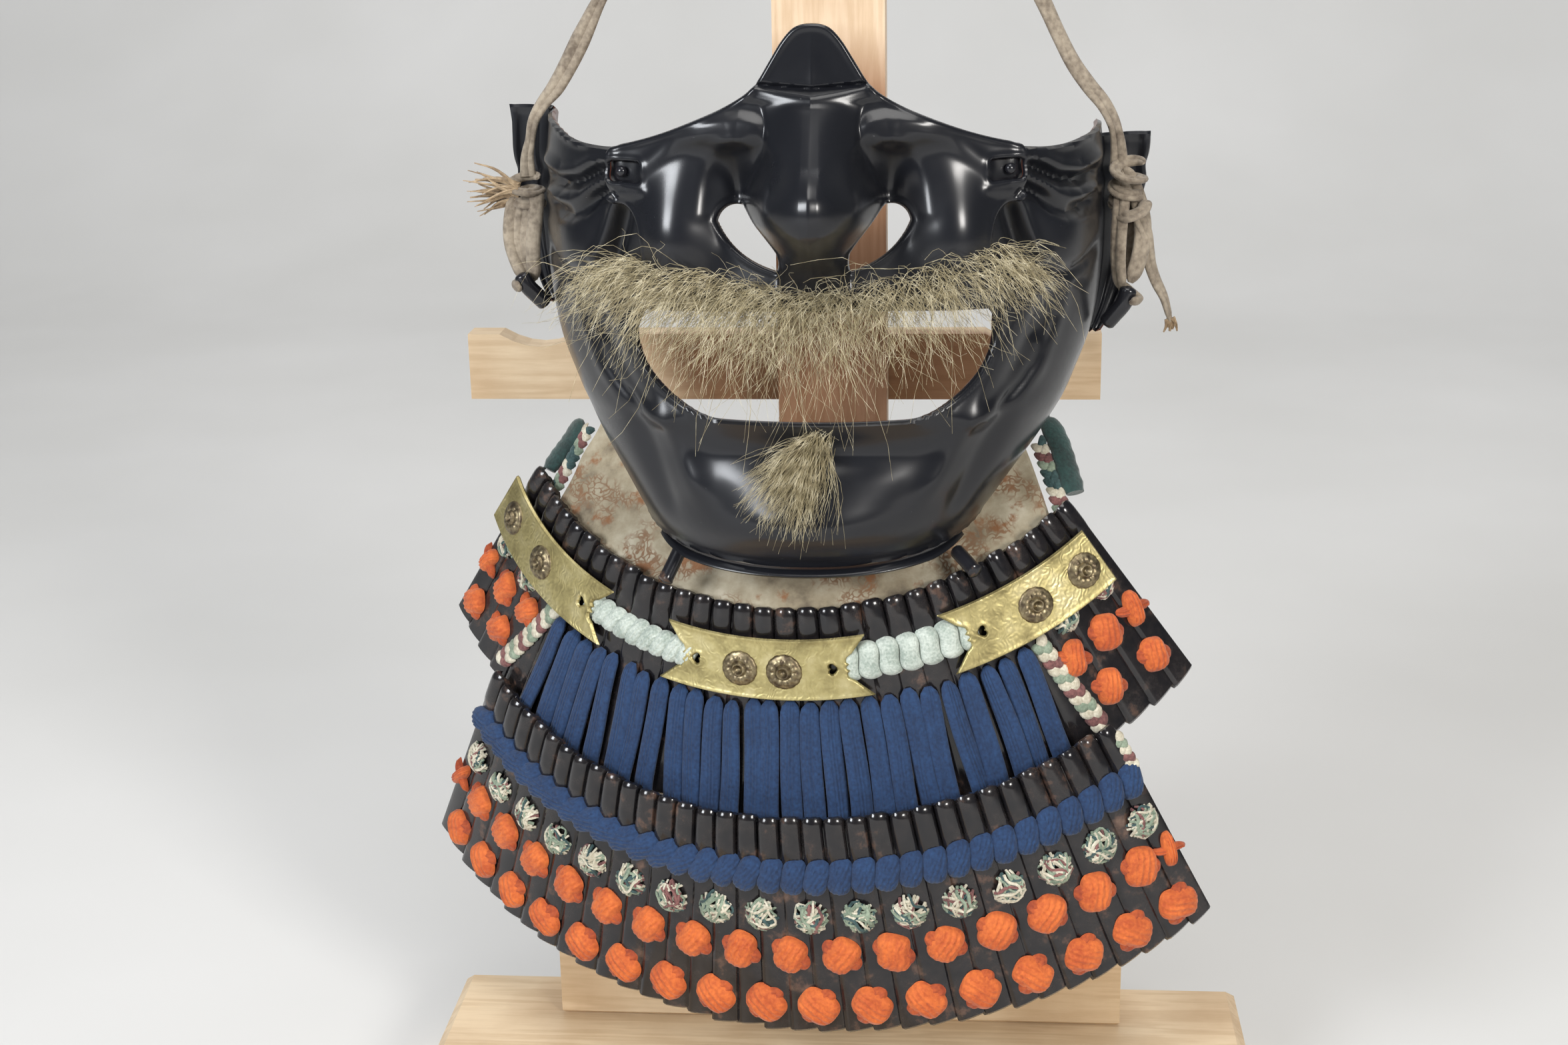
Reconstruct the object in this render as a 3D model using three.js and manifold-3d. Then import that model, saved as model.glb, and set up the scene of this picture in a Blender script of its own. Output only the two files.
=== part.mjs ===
// A lacquered half mask with its laced throat guard, hung on a wooden stand.
// The mask is a wall worked out from a short table of face sections and a list of swells and folds;
// the throat guard's tiers are strips of two cones. Millimetres, +Z up, the wearer looks along -Y.
import * as THREE from "three";
import { mergeVertices } from "three/addons/utils/BufferGeometryUtils.js";
import Module from "manifold-3d";

const wasm = await Module();
wasm.setup();

// ---- driving dimensions -----------------------------------------------------------------------
const SEAM_GAP = 0.3;

const BOARD = { left: -116.1, right: 118.4, front: -79.3, back: 72, thick: 22, edge: 3 };
const BLOCK = { middle: 0.4, width: 164, front: 46.7, back: 71, high: 26, edge: 1 };
const POST = { middle: 0.4, width: 29.5, front: 55, deep: 15, top: 372, edge: 1 };
const CROSSBAR = {
  left: -103.2, right: 73.9, bottom: 204.3, top: 223, deep: 9,
  scoopStart: 9, scoopEnd: 32, scoopDepth: 3.6,
};

const MASK_WALL = 1.6;
const MASK_MIDDLE = 0;
const MASK_YAW = 0.02;
const JAW_LEAN = 0.09;
const LEAN_BELOW = 215;
const FACE_SQUARENESS = 2.25;
const CHIN_EDGE = 179.5;
const JAW_RISE = 8;
const FACE = [
  { height: 179, half: 39.0, front: -4.5, rear: 32 },
  { height: 184, half: 42.8, front: -8.0, rear: 33 },
  { height: 190, half: 46.9, front: -10.5, rear: 35 },
  { height: 198, half: 52.2, front: -11.0, rear: 37 },
  { height: 206, half: 57.6, front: -10.0, rear: 39 },
  { height: 213, half: 61.7, front: -9.5, rear: 41 },
  { height: 220, half: 65.3, front: -10.0, rear: 44 },
  { height: 232, half: 70.0, front: -8.5, rear: 47 },
  { height: 245, half: 72.4, front: -8.0, rear: 50 },
  { height: 260, half: 72.8, front: -8.0, rear: 50 },
  { height: 275, half: 72.4, front: -8.0, rear: 50 },
  { height: 290, half: 70.6, front: -7.0, rear: 50 },
  { height: 300, half: 69.0, front: -6.0, rear: 50 },
  { height: 315, half: 66.0, front: -4.5, rear: 50 },
];
const NOSE = [
  { height: 244, rise: 0.0, half: 11.0 },
  { height: 250, rise: 2.0, half: 9.0 },
  { height: 256, rise: 7.0, half: 8.5 },
  { height: 260, rise: 11.5, half: 9.5 },
  { height: 264, rise: 17.5, half: 12.5 },
  { height: 268, rise: 22.5, half: 16.0 },
  { height: 272, rise: 24.0, half: 17.0 },
  { height: 276, rise: 22.5, half: 15.0 },
  { height: 282, rise: 16.0, half: 12.0 },
  { height: 288, rise: 9.5, half: 11.0 },
  { height: 294, rise: 3.5, half: 12.0 },
  { height: 298.3, rise: 0.0, half: 14.0 },
  { height: 315, rise: 0.0, half: 14.0 },
];
// Soft swells (rise above zero) and hollows (below zero), the same on both sides of the face.
const SWELLS = [
  { side: 0, height: 191, wide: 20, tall: 8, rise: 4.0 },
  { side: 0, height: 209, wide: 26, tall: 4, rise: -2.6 },
  { side: 0, height: 218, wide: 34, tall: 3.5, rise: 2.2 },
  { side: 19, height: 272, wide: 6.5, tall: 9, rise: -6.0 },
  { side: 33, height: 262, wide: 8, tall: 13, rise: 5.5 },
  { side: 20, height: 288, wide: 11, tall: 3.5, rise: 2.6 },
  { side: 0, height: 249, wide: 30, tall: 6, rise: 2.5 },
  { side: 47, height: 277, wide: 6, tall: 6, rise: 1.5 },
  { side: 59, height: 258, wide: 7, tall: 11, rise: 2.5 },
];
// Long folds: a ridge or groove along a straight run from one place to another.
const FOLDS = [
  { fromSide: 50, fromHeight: 244, toSide: 30, toHeight: 203, wide: 3.5, rise: 1.6 },
  { fromSide: 57, fromHeight: 243, toSide: 37, toHeight: 197, wide: 3.0, rise: -1.2 },
  { fromSide: 52, fromHeight: 277, toSide: 69, toHeight: 272, wide: 2.2, rise: -1.4 },
  { fromSide: 51, fromHeight: 272, toSide: 68, toHeight: 265, wide: 2.2, rise: -1.4 },
  { fromSide: 47, fromHeight: 266, toSide: 51, toHeight: 255, wide: 2.4, rise: -1.4 },
];
// The mask's top edge, from its left ear over the nose to its right ear.
const TOP_EDGE = [
  { side: -76, height: 290.0 },
  { side: -70, height: 288.2 },
  { side: -66, height: 286.7 },
  { side: -62, height: 285.1 },
  { side: -56, height: 284.2 },
  { side: -48, height: 284.4 },
  { side: -38, height: 286.8 },
  { side: -28, height: 290.4 },
  { side: -19, height: 294.6 },
  { side: -13.5, height: 298.6 },
  { side: -10, height: 304.0 },
  { side: -7, height: 308.8 },
  { side: -4, height: 311.9 },
  { side: 0, height: 312.8 },
  { side: 4, height: 311.9 },
  { side: 7, height: 308.8 },
  { side: 10, height: 304.0 },
  { side: 13.5, height: 298.6 },
  { side: 19, height: 294.6 },
  { side: 28, height: 290.4 },
  { side: 38, height: 286.6 },
  { side: 48, height: 283.9 },
  { side: 58, height: 282.7 },
  { side: 66, height: 283.7 },
  { side: 70, height: 284.8 },
  { side: 76, height: 286.5 },
];
const MOUTH = { middle: -0.6, half: 43.5, bottom: 218.6, corner: 240, top: 245, flatHalf: 22 };
const LEDGE = { upper: 40, lower: 35, turn: 263, top: 330 };
const PLATE_LIFT = MASK_WALL + 0.5;
const PLATE_EDGE = { tab: 49, tabBottom: 270, waist: 40.5, waistHeight: 258, lip: 44, lipHeight: 244.5 };
const SLOT = { side: 44.3, height: 278, wide: 7.6, tall: 4.8 };
const STUD = { side: 45.6, radius: 1.2, high: 1.3 };
const NOSTRIL = { innerSide: 8.6, innerHeight: 257, outerSide: 20.5, outerHeight: 268, wide: 5.2 };

const CHIN_RIM = { reach: 0.74, out: 2.6, thick: 1.2, aim: 24 };
const PEG = { radius: 1.9, sides: 10 };
const PEGS = [
  { name: "peg_left", from: [-36.9, 12, 179], to: [-41.1, 8, 170.7] },
  { name: "peg_right", from: [34, 11, 179.4], to: [39.6, 3, 175.6] },
];

// The flared rear edge of each cheek: a quarter turn outward behind the cord.
const EARS = [
  { name: "ear_flange_left", sign: -1, low: 236, high: 288.5, out: 12.5, foot: 3.5 },
  { name: "ear_flange_right", sign: 1, low: 228, high: 280, out: 13.5, foot: 3.5 },
];
const EAR_DEPTH = 5;
// The bent hooks on the lower cheeks that the cord is tied under.
const LUG = { radius: 2, sides: 8, steps: 5 };
const LUGS = [
  { name: "lug_left", route: [[-73.3, 36, 238.2], [-75.6, 35, 240.8], [-78.2, 34, 244], [-79.6, 34, 247.2]] },
  { name: "lug_right", route: [[72.2, 36, 232.6], [74.4, 35, 235.4], [77, 34, 239], [78.2, 34, 243.2]] },
];

// Hair: where the moustache and the chin tuft reach, and how far they stand off the face.
const MOUSTACHE = [
  { side: -57, top: 256, bottom: 247, thick: 3 },
  { side: -45, top: 260, bottom: 240, thick: 7 },
  { side: -25, top: 257, bottom: 236, thick: 8 },
  { side: 0, top: 253, bottom: 233, thick: 9 },
  { side: 22, top: 257, bottom: 236, thick: 8 },
  { side: 42, top: 262, bottom: 241, thick: 7 },
  { side: 54, top: 259, bottom: 248, thick: 3 },
];
const GOATEE = [
  { side: -24, top: 216, bottom: 206, thick: 2 },
  { side: -12, top: 215, bottom: 194, thick: 5 },
  { side: 0, top: 215, bottom: 191, thick: 6 },
  { side: 6, top: 210, bottom: 199, thick: 3 },
];

const HAIR_GAP = 1.8;

const CORD = { radius: 2.2, sides: 8, steps: 48 };
const TAIL = { radius: 1.9, sides: 8, steps: 10 };
const CORD_ROUTE = [
  [-78.7, 45.8, 270.6], [-78.8, 46.5, 275.5], [-77.9, 47, 280], [-76.9, 47.6, 284.8], [-74.6, 48.4, 289],
  [-71, 49, 293.2], [-67.2, 50, 299.4], [-63, 51, 307.3], [-58.8, 52, 315.3], [-43.6, 54.5, 340],
  [-28, 57.5, 360], [-19.1, 60, 371], [-14.1, 62.5, 375.6], [0.4, 62.5, 374.9], [14.9, 62.5, 375.6],
  [19.9, 60, 370.5], [31, 57.5, 354], [44.5, 54.5, 333.5], [51.8, 53, 321], [56.2, 52, 312.6],
  [59.6, 51.5, 305.5], [63.6, 50.5, 298], [67.8, 49.6, 292.2], [71.5, 48.8, 287.8], [74, 48, 283.2],
  [75.1, 47, 279], [75.5, 46.4, 274.8], [75.6, 45.8, 271.6],
];
const TAIL_ROUTE = [
  [83.2, 40, 251], [83.9, 40, 247.5], [85.4, 40, 243.4], [87.6, 40, 239], [89.5, 40, 232.6],
];
const KNOTS = [
  { name: "cord_knot_left", place: [-79, 42, 257], size: [8.4, 8, 24] },
  { name: "cord_knot_right", place: [76.8, 41, 257.5], size: [8, 8, 27] },
  { name: "cord_frayed_end", place: [-90.2, 42, 268], size: [13, 6, 9] },
];
const KNOT_FACETS = { around: 12, down: 8 };

// Each tier lies on a cone: the tip's place, the turn of its axis, and the flare from axis to wall.
const UPPER_CONE = { tip: [-14.2, 12.9, 297.6], turn: -4.1, tilt: 38.1, roll: -6.4, flare: 41.5 };
const LOWER_CONE = { tip: [-19.7, -5.4, 317.7], turn: -4.5, tilt: 33.9, roll: -6.6, flare: 34.9 };
const LAME = 1.6;
const UPPER_TIER = { from: -67.4, to: 47, top: 132.4, bottom: 192.6, scales: 31, notch: 1.6 };
const LOWER_TIER = { from: -58.2, to: 37.6, top: 205.8, bottom: 268.4, scales: 34, notch: 1.6 };

// The leather collar behind the upper tier: how far up it reaches at each angle.
const COLLAR = { from: -60, to: 46, bottom: 137, lift: -4.4, thick: 1.8, lean: 0.7, columns: 30 };
const COLLAR_TOP = [
  { angle: -60, top: 115 },
  { angle: -50, top: 114 },
  { angle: -42, top: 116 },
  { angle: -34, top: 119 },
  { angle: -24, top: 122 },
  { angle: -10, top: 124 },
  { angle: 14, top: 124 },
  { angle: 26, top: 125.4 },
  { angle: 36, top: 123.6 },
  { angle: 46, top: 120 },
];
const COLLAR_ENDS = [
  { side: "left", skew: 0, braid: { angle: -62.1, top: 116 }, rim: { angle: -66.4, top: 119 } },
  { side: "right", skew: 3.5, braid: { angle: 48.6, top: 119 }, rim: { angle: 53.1, top: 118 } },
];
const END_BRAID = { half: 1.9, bottom: 136, thick: 2.2, back: 0 };
const END_RIM = { half: 2.2, bottom: 135, thick: 2.8, back: 0.6 };

// Brass plates on the upper tier. A swallow tail is cut into each end that faces a braid.
const PLATE = { top: 141, bottom: 157.6, lift: SEAM_GAP + 1.2, thick: 1.2, notch: 6.6 };
const PLATES = [
  { name: "left", from: -69, to: -37.1, cutFrom: false, cutTo: true, rivets: [-64.1, -53.6] },
  { name: "middle", from: -26.2, to: 6.4, cutFrom: true, cutTo: true, rivets: [-13.4, -6.6] },
  { name: "right", from: 17.7, to: 44.7, cutFrom: true, cutTo: false, rivets: [32.2, 41.2] },
];
const RIVET = { foot: 4.7, head: 3.0, high: 2.4, slant: 149.6, gap: 0.5 };
const PALE_BRAIDS = [
  { name: "left", from: -42.6, to: -21.4 },
  { name: "right", from: 1.2, to: 23.2 },
];
const PALE_BRAID = { top: 144.6, bottom: 152.6, thick: 1.0, columns: 8 };

const LACING = {
  from: -47, to: 29, top: 158.8, bottom: 191.4, laces: 27, thick: 1.7, crease: 0.7, dip: 1.4,
};
const EDGE_BRAIDS = [
  { name: "left", topAngle: -48.2, bottomAngle: -54.4 },
  { name: "right", topAngle: 30.2, bottomAngle: 32.8 },
];
const EDGE_BRAID = { half: 1.1, top: 158.2, bottom: 188.5, thick: 1.8 };
const LOWER_BRAID = { from: -57.6, to: 36.6, top: 218, bottom: 228, thick: 2.4, columns: 34 };

// ---- colours ------------------------------------------------------------------------------------
const finish = (color, roughness, metalness = 0) =>
  new THREE.MeshStandardMaterial({ color, roughness, metalness });
const PINE = finish(0xe0c6a4, 0.6);
const LACQUER = finish(0x232126, 0.18);
const HAIR = finish(0x9a8c62, 0.8);
const HEMP = finish(0x968774, 0.9);
const LEATHER = finish(0xbeaf8c, 0.7);
const DARK_CLOTH = finish(0x23463f, 0.9);
const MOTTLED_SILK = finish(0x8a8f78, 0.8);
const BLUE_SILK = finish(0x1e3c6e, 0.8);
const PALE_SILK = finish(0xb9c3b9, 0.8);
const BRASS = finish(0xa59655, 0.35, 0.9);

const object = new THREE.Group();

function addPiece(name, geometry, material) {
  const mesh = new THREE.Mesh(geometry, material);
  mesh.name = name;
  object.add(mesh);
  return mesh;
}

// ---- helpers --------------------------------------------------------------------------------------
// Value of one named column of a table at a place between its rows, on a smooth curve.
function readTable(table, rowKey, column, at) {
  const last = table.length - 1;
  if (at <= table[0][rowKey]) return table[0][column];
  if (at >= table[last][rowKey]) return table[last][column];
  const i = table.findIndex((row) => row[rowKey] > at) - 1;
  const slope = (j) => {
    const a = table[Math.max(j - 1, 0)];
    const b = table[Math.min(j + 1, last)];
    return (b[column] - a[column]) / (b[rowKey] - a[rowKey]);
  };
  const low = table[i];
  const high = table[i + 1];
  const span = high[rowKey] - low[rowKey];
  const s = (at - low[rowKey]) / span;
  const s2 = s * s;
  const s3 = s2 * s;
  return (2 * s3 - 3 * s2 + 1) * low[column] + (s3 - 2 * s2 + s) * span * slope(i)
    + (3 * s2 - 2 * s3) * high[column] + (s3 - s2) * span * slope(i + 1);
}

function volumeOf(points, faces) {
  let total = 0;
  for (const [a, b, c] of faces) {
    total += points[a].dot(new THREE.Vector3().crossVectors(points[b], points[c]));
  }
  return total / 6;
}

function geometryFrom(points, faces) {
  const outward = volumeOf(points, faces) > 0 ? faces : faces.map(([a, b, c]) => [a, c, b]);
  const geometry = new THREE.BufferGeometry();
  geometry.setAttribute("position",
    new THREE.Float32BufferAttribute(points.flatMap((p) => [p.x, p.y, p.z]), 3));
  geometry.setIndex(outward.flat());
  return geometry;
}

// A wall over a grid: place(across, down, outer) gives the points of its inner and outer faces.
function wallOverGrid(columns, rows, place) {
  const points = [];
  for (const outer of [0, 1]) {
    for (let j = 0; j <= rows; j++) {
      for (let i = 0; i <= columns; i++) points.push(place(i / columns, j / rows, outer));
    }
  }
  const at = (outer, i, j) => outer * (columns + 1) * (rows + 1) + j * (columns + 1) + i;
  const faces = [];
  const quad = (a, b, c, d) => faces.push([a, b, c], [a, c, d]);
  for (let j = 0; j < rows; j++) {
    for (let i = 0; i < columns; i++) {
      quad(at(1, i, j), at(1, i + 1, j), at(1, i + 1, j + 1), at(1, i, j + 1));
      quad(at(0, i, j), at(0, i, j + 1), at(0, i + 1, j + 1), at(0, i + 1, j));
    }
    quad(at(0, 0, j), at(1, 0, j), at(1, 0, j + 1), at(0, 0, j + 1));
    quad(at(1, columns, j), at(0, columns, j), at(0, columns, j + 1), at(1, columns, j + 1));
  }
  for (let i = 0; i < columns; i++) {
    quad(at(1, i, 0), at(0, i, 0), at(0, i + 1, 0), at(1, i + 1, 0));
    quad(at(0, i, rows), at(1, i, rows), at(1, i + 1, rows), at(0, i + 1, rows));
  }
  return geometryFrom(points, faces);
}

function toSolid(geometry) {
  const bare = geometry.clone();
  bare.deleteAttribute("normal");
  bare.deleteAttribute("uv");
  const merged = mergeVertices(bare, 1e-4);
  return new wasm.Manifold(new wasm.Mesh({
    numProp: 3,
    vertProperties: Float32Array.from(merged.attributes.position.array),
    triVerts: Uint32Array.from(merged.index.array),
  }));
}

function toGeometry(solid) {
  const mesh = solid.getMesh();
  const geometry = new THREE.BufferGeometry();
  geometry.setAttribute("position", new THREE.BufferAttribute(mesh.vertProperties, 3));
  geometry.setIndex(new THREE.BufferAttribute(mesh.triVerts, 1));
  return geometry;
}

// A prism whose outline is drawn in X and Z, running along Y from back to front.
function prismAlongY(shape, front, back) {
  const geometry = new THREE.ExtrudeGeometry(shape,
    { depth: back - front, bevelEnabled: false, curveSegments: 10 });
  geometry.rotateX(Math.PI / 2);
  geometry.translate(0, back, 0);
  return toSolid(geometry);
}

function bevelledBox([width, depth, height], edge) {
  const shape = new THREE.Shape();
  shape.moveTo(-width / 2 + edge, -depth / 2 + edge);
  shape.lineTo(width / 2 - edge, -depth / 2 + edge);
  shape.lineTo(width / 2 - edge, depth / 2 - edge);
  shape.lineTo(-width / 2 + edge, depth / 2 - edge);
  const geometry = new THREE.ExtrudeGeometry(shape, {
    depth: height - 2 * edge, bevelEnabled: true, bevelThickness: edge, bevelSize: edge, bevelSegments: 1,
  });
  geometry.translate(0, 0, edge - height / 2);
  return geometry;
}

function boxPiece(name, size, place, edge, material) {
  addPiece(name, bevelledBox(size, edge), material).position.set(...place);
}

function tubePiece(name, points, radius, sides, steps, material) {
  const section = new THREE.Shape();
  for (let i = 0; i < sides; i++) {
    const turn = (i / sides) * 2 * Math.PI;
    const x = radius * Math.cos(turn);
    const y = radius * Math.sin(turn);
    if (i === 0) section.moveTo(x, y);
    else section.lineTo(x, y);
  }
  const route = new THREE.CatmullRomCurve3(points.map((p) => new THREE.Vector3(...p)), false, "centripetal");
  addPiece(name, new THREE.ExtrudeGeometry(section, { steps, extrudePath: route }), material);
}

// A short round bar between two places.
function rodPiece(name, from, to, radius, sides, material) {
  const a = new THREE.Vector3(...from);
  const b = new THREE.Vector3(...to);
  const rod = addPiece(name, new THREE.CylinderGeometry(radius, radius, a.distanceTo(b), sides), material);
  rod.position.copy(a).add(b).multiplyScalar(0.5);
  rod.quaternion.setFromUnitVectors(new THREE.Vector3(0, 1, 0), b.sub(a).normalize());
}

// ---- the stand ------------------------------------------------------------------------------------
// The post stands in a notch in the back of the block, and both stand on the board.
function buildBoard() {
  const width = BOARD.right - BOARD.left;
  const depth = BOARD.back - BOARD.front;
  const x = (BOARD.left + BOARD.right) / 2;
  const y = (BOARD.front + BOARD.back) / 2;
  boxPiece("base_board", [width, depth, BOARD.thick], [x, y, BOARD.thick / 2], BOARD.edge, PINE);
}

function buildBlock() {
  const z = BOARD.thick + SEAM_GAP + BLOCK.high / 2;
  const deep = BLOCK.back - BLOCK.front;
  const block = bevelledBox([BLOCK.width, deep, BLOCK.high], BLOCK.edge);
  block.translate(BLOCK.middle, BLOCK.front + deep / 2, z);
  const wide = POST.width + 2 * SEAM_GAP;
  const cut = 2 * deep;
  const notch = new THREE.BoxGeometry(wide, cut, 2 * BLOCK.high);
  notch.translate(POST.middle, POST.front - SEAM_GAP + cut / 2, z);
  addPiece("foot_block", toGeometry(toSolid(block).subtract(toSolid(notch))), PINE);
}

function buildPost() {
  const bottom = BOARD.thick + SEAM_GAP;
  boxPiece("post", [POST.width, POST.deep, POST.top - bottom],
    [POST.middle, POST.front + POST.deep / 2, (POST.top + bottom) / 2], POST.edge, PINE);
}

function buildCrossbar() {
  const { left, right, bottom, top, deep, scoopStart, scoopEnd, scoopDepth } = CROSSBAR;
  const shape = new THREE.Shape();
  shape.moveTo(left, bottom);
  shape.lineTo(right, bottom);
  shape.lineTo(right, top);
  shape.lineTo(right - scoopStart, top);
  shape.quadraticCurveTo(right - (scoopStart + scoopEnd) / 2, top - 2 * scoopDepth, right - scoopEnd, top);
  shape.lineTo(left + scoopEnd, top);
  shape.quadraticCurveTo(left + (scoopStart + scoopEnd) / 2, top - 2 * scoopDepth, left + scoopStart, top);
  shape.lineTo(left, top);
  const geometry = new THREE.ExtrudeGeometry(shape, { depth: deep, bevelEnabled: false, curveSegments: 6 });
  geometry.rotateX(Math.PI / 2);
  geometry.translate(0, POST.front + POST.deep + SEAM_GAP + deep, 0);
  addPiece("crossbar", geometry, PINE);
}

// ---- the mask -------------------------------------------------------------------------------------
function bell(value, width) {
  return Math.exp(-(value * value) / (width * width));
}

function noseRise(side, height) {
  const rise = readTable(NOSE, "height", "rise", height);
  const half = readTable(NOSE, "height", "half", height);
  const q = side / half;
  return q < 1 ? rise * (1 - q ** 1.7) ** 1.25 : 0;
}

function foldRise(fold, side, height) {
  const runSide = fold.toSide - fold.fromSide;
  const runHeight = fold.toHeight - fold.fromHeight;
  const length = Math.hypot(runSide, runHeight);
  const along = ((side - fold.fromSide) * runSide + (height - fold.fromHeight) * runHeight) / length;
  const off = ((side - fold.fromSide) * runHeight - (height - fold.fromHeight) * runSide) / length;
  const past = Math.max(0, -along, along - length);
  return fold.rise * bell(off, fold.wide) * bell(past, 2 * fold.wide);
}

function relief(side, height) {
  let rise = noseRise(side, height);
  for (const s of SWELLS) rise += s.rise * bell(side - s.side, s.wide) * bell(height - s.height, s.tall);
  for (const f of FOLDS) rise += foldRise(f, side, height);
  return rise;
}

function faceMiddle(height) {
  return MASK_MIDDLE - JAW_LEAN * Math.max(0, LEAN_BELOW - height);
}

// A point of the face's outside: round is -1 at the left rear edge, 0 in front, 1 at the right.
function facePoint(round, height) {
  const half = readTable(FACE, "height", "half", height);
  const front = readTable(FACE, "height", "front", height);
  const rear = readTable(FACE, "height", "rear", height);
  const turn = (round * Math.PI) / 2;
  const s = Math.abs(Math.sin(turn)) ** (2 / FACE_SQUARENESS);
  const c = Math.abs(Math.cos(turn)) ** (2 / FACE_SQUARENESS);
  const sign = Math.sign(round);
  const outX = s ** (FACE_SQUARENESS - 1) / half;
  const outY = c ** (FACE_SQUARENESS - 1) / (rear - front);
  const size = Math.hypot(outX, outY);
  const rise = relief(half * s, height);
  const depth = rear - (rear - front) * c - (rise * outY) / size;
  const x = faceMiddle(height) + sign * (half * s + (rise * outX) / size) - MASK_YAW * depth;
  return new THREE.Vector3(x, depth, height);
}

function faceNormal(round, height) {
  const a = Math.min(round + 0.01, 1);
  const b = Math.max(round - 0.01, -1);
  const across = facePoint(a, height).sub(facePoint(b, height));
  const up = facePoint(round, height + 0.4).sub(facePoint(round, height - 0.4));
  return across.cross(up).normalize();
}

function facePlace(round, height, lift) {
  return facePoint(round, height).addScaledVector(faceNormal(round, height), lift);
}

// The round value where the face's outside is a given distance from its middle.
function roundAt(side, height) {
  const half = readTable(FACE, "height", "half", height);
  const s = Math.min(Math.abs(side) / half, 1) ** (FACE_SQUARENESS / 2);
  return (Math.sign(side) * Math.asin(s) * 2) / Math.PI;
}

// The lower edge rises from the chin towards the ears.
function jawEdge(round) {
  return CHIN_EDGE + JAW_RISE * round * round;
}

function faceTop(side) {
  return readTable(TOP_EDGE, "side", "height", side);
}

function mouthShape(top) {
  const { middle, half, bottom, corner, flatHalf } = MOUTH;
  const shape = new THREE.Shape();
  shape.moveTo(middle - half, corner);
  shape.bezierCurveTo(middle - half, corner - 12, middle - flatHalf - 9, bottom, middle - flatHalf, bottom);
  shape.lineTo(middle + flatHalf, bottom);
  shape.bezierCurveTo(middle + flatHalf + 9, bottom, middle + half, corner - 12, middle + half, corner);
  shape.lineTo(middle + half, top);
  shape.lineTo(middle - half, top);
  return shape;
}

function buildBowl() {
  const wall = wallOverGrid(34, 15, (across, down, outer) => {
    const round = 2 * across - 1;
    const bottom = jawEdge(round);
    const guess = facePoint(round, 286).x - MASK_MIDDLE;
    const height = bottom + (faceTop(guess) - 0.8 - bottom) * (1 - down);
    return facePlace(round, height, outer ? 0 : -MASK_WALL);
  });
  const ledge = new THREE.Shape();
  const { upper, lower, turn, top } = LEDGE;
  ledge.moveTo(MASK_MIDDLE - lower, MOUTH.corner);
  ledge.lineTo(MASK_MIDDLE + lower, MOUTH.corner);
  ledge.lineTo(MASK_MIDDLE + lower, turn);
  ledge.lineTo(MASK_MIDDLE + upper, turn + 4);
  ledge.lineTo(MASK_MIDDLE + upper, top);
  ledge.lineTo(MASK_MIDDLE - upper, top);
  ledge.lineTo(MASK_MIDDLE - upper, turn + 4);
  ledge.lineTo(MASK_MIDDLE - lower, turn);
  const solid = toSolid(wall)
    .subtract(prismAlongY(mouthShape(MOUTH.top), -60, 30))
    .subtract(prismAlongY(ledge, -60, 30));
  addPiece("mask_bowl", toGeometry(solid), LACQUER);
}

function plateShape() {
  const { tab, tabBottom, waist, waistHeight, lip, lipHeight } = PLATE_EDGE;
  const shape = new THREE.Shape();
  const m = MASK_MIDDLE;
  shape.moveTo(m - lip, lipHeight);
  shape.quadraticCurveTo(m, lipHeight + 2.5, m + lip, lipHeight);
  shape.quadraticCurveTo(m + waist - 1, waistHeight - 6, m + waist, waistHeight);
  shape.quadraticCurveTo(m + waist, tabBottom, m + tab - 2, tabBottom);
  shape.quadraticCurveTo(m + tab, tabBottom, m + tab, tabBottom + 2);
  shape.lineTo(m + tab, LEDGE.top);
  shape.lineTo(m - tab, LEDGE.top);
  shape.lineTo(m - tab, tabBottom + 2);
  shape.quadraticCurveTo(m - tab, tabBottom, m - tab + 2, tabBottom);
  shape.quadraticCurveTo(m - waist, tabBottom, m - waist, waistHeight);
  shape.quadraticCurveTo(m - waist + 1, waistHeight - 6, m - lip, lipHeight);
  return shape;
}

function slotShape(sign) {
  const shape = new THREE.Shape();
  const x = MASK_MIDDLE + sign * SLOT.side;
  shape.moveTo(x - SLOT.wide / 2, SLOT.height - SLOT.tall / 2);
  shape.lineTo(x + SLOT.wide / 2, SLOT.height - SLOT.tall / 2);
  shape.lineTo(x + SLOT.wide / 2, SLOT.height + SLOT.tall / 2);
  shape.lineTo(x - SLOT.wide / 2, SLOT.height + SLOT.tall / 2);
  return shape;
}

// A slanted teardrop, wide above and outside, narrow below and inside.
function nostrilShape(sign) {
  const { innerSide, innerHeight, outerSide, outerHeight, wide } = NOSTRIL;
  const shape = new THREE.Shape();
  const x = (side) => MASK_MIDDLE + sign * side;
  shape.moveTo(x(innerSide), innerHeight - 1.5);
  shape.quadraticCurveTo(x(outerSide - 1), innerHeight + 1.5, x(outerSide + 2.5), outerHeight - 1);
  shape.quadraticCurveTo(x(outerSide + 2), outerHeight + wide / 1.6, x(outerSide - 3), outerHeight + 2.2);
  shape.quadraticCurveTo(x(innerSide + 5), outerHeight, x(innerSide), innerHeight + 3);
  return shape;
}

function buildNosePlate() {
  const low = PLATE_EDGE.lipHeight - 2;
  const reach = PLATE_EDGE.tab + 3;
  const wall = wallOverGrid(30, 17, (across, down, outer) => {
    const side = reach * (2 * across - 1);
    const height = low + (faceTop(side) - low) * (1 - down);
    return facePlace(roundAt(side, height), height, PLATE_LIFT - (outer ? 0 : MASK_WALL));
  });
  let solid = toSolid(wall).intersect(prismAlongY(plateShape(), -80, 40));
  for (const sign of [-1, 1]) {
    solid = solid
      .subtract(prismAlongY(slotShape(sign), -80, 40))
      .subtract(prismAlongY(nostrilShape(sign), -80, 40));
  }
  addPiece("nose_plate", toGeometry(solid), LACQUER);
}

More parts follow.
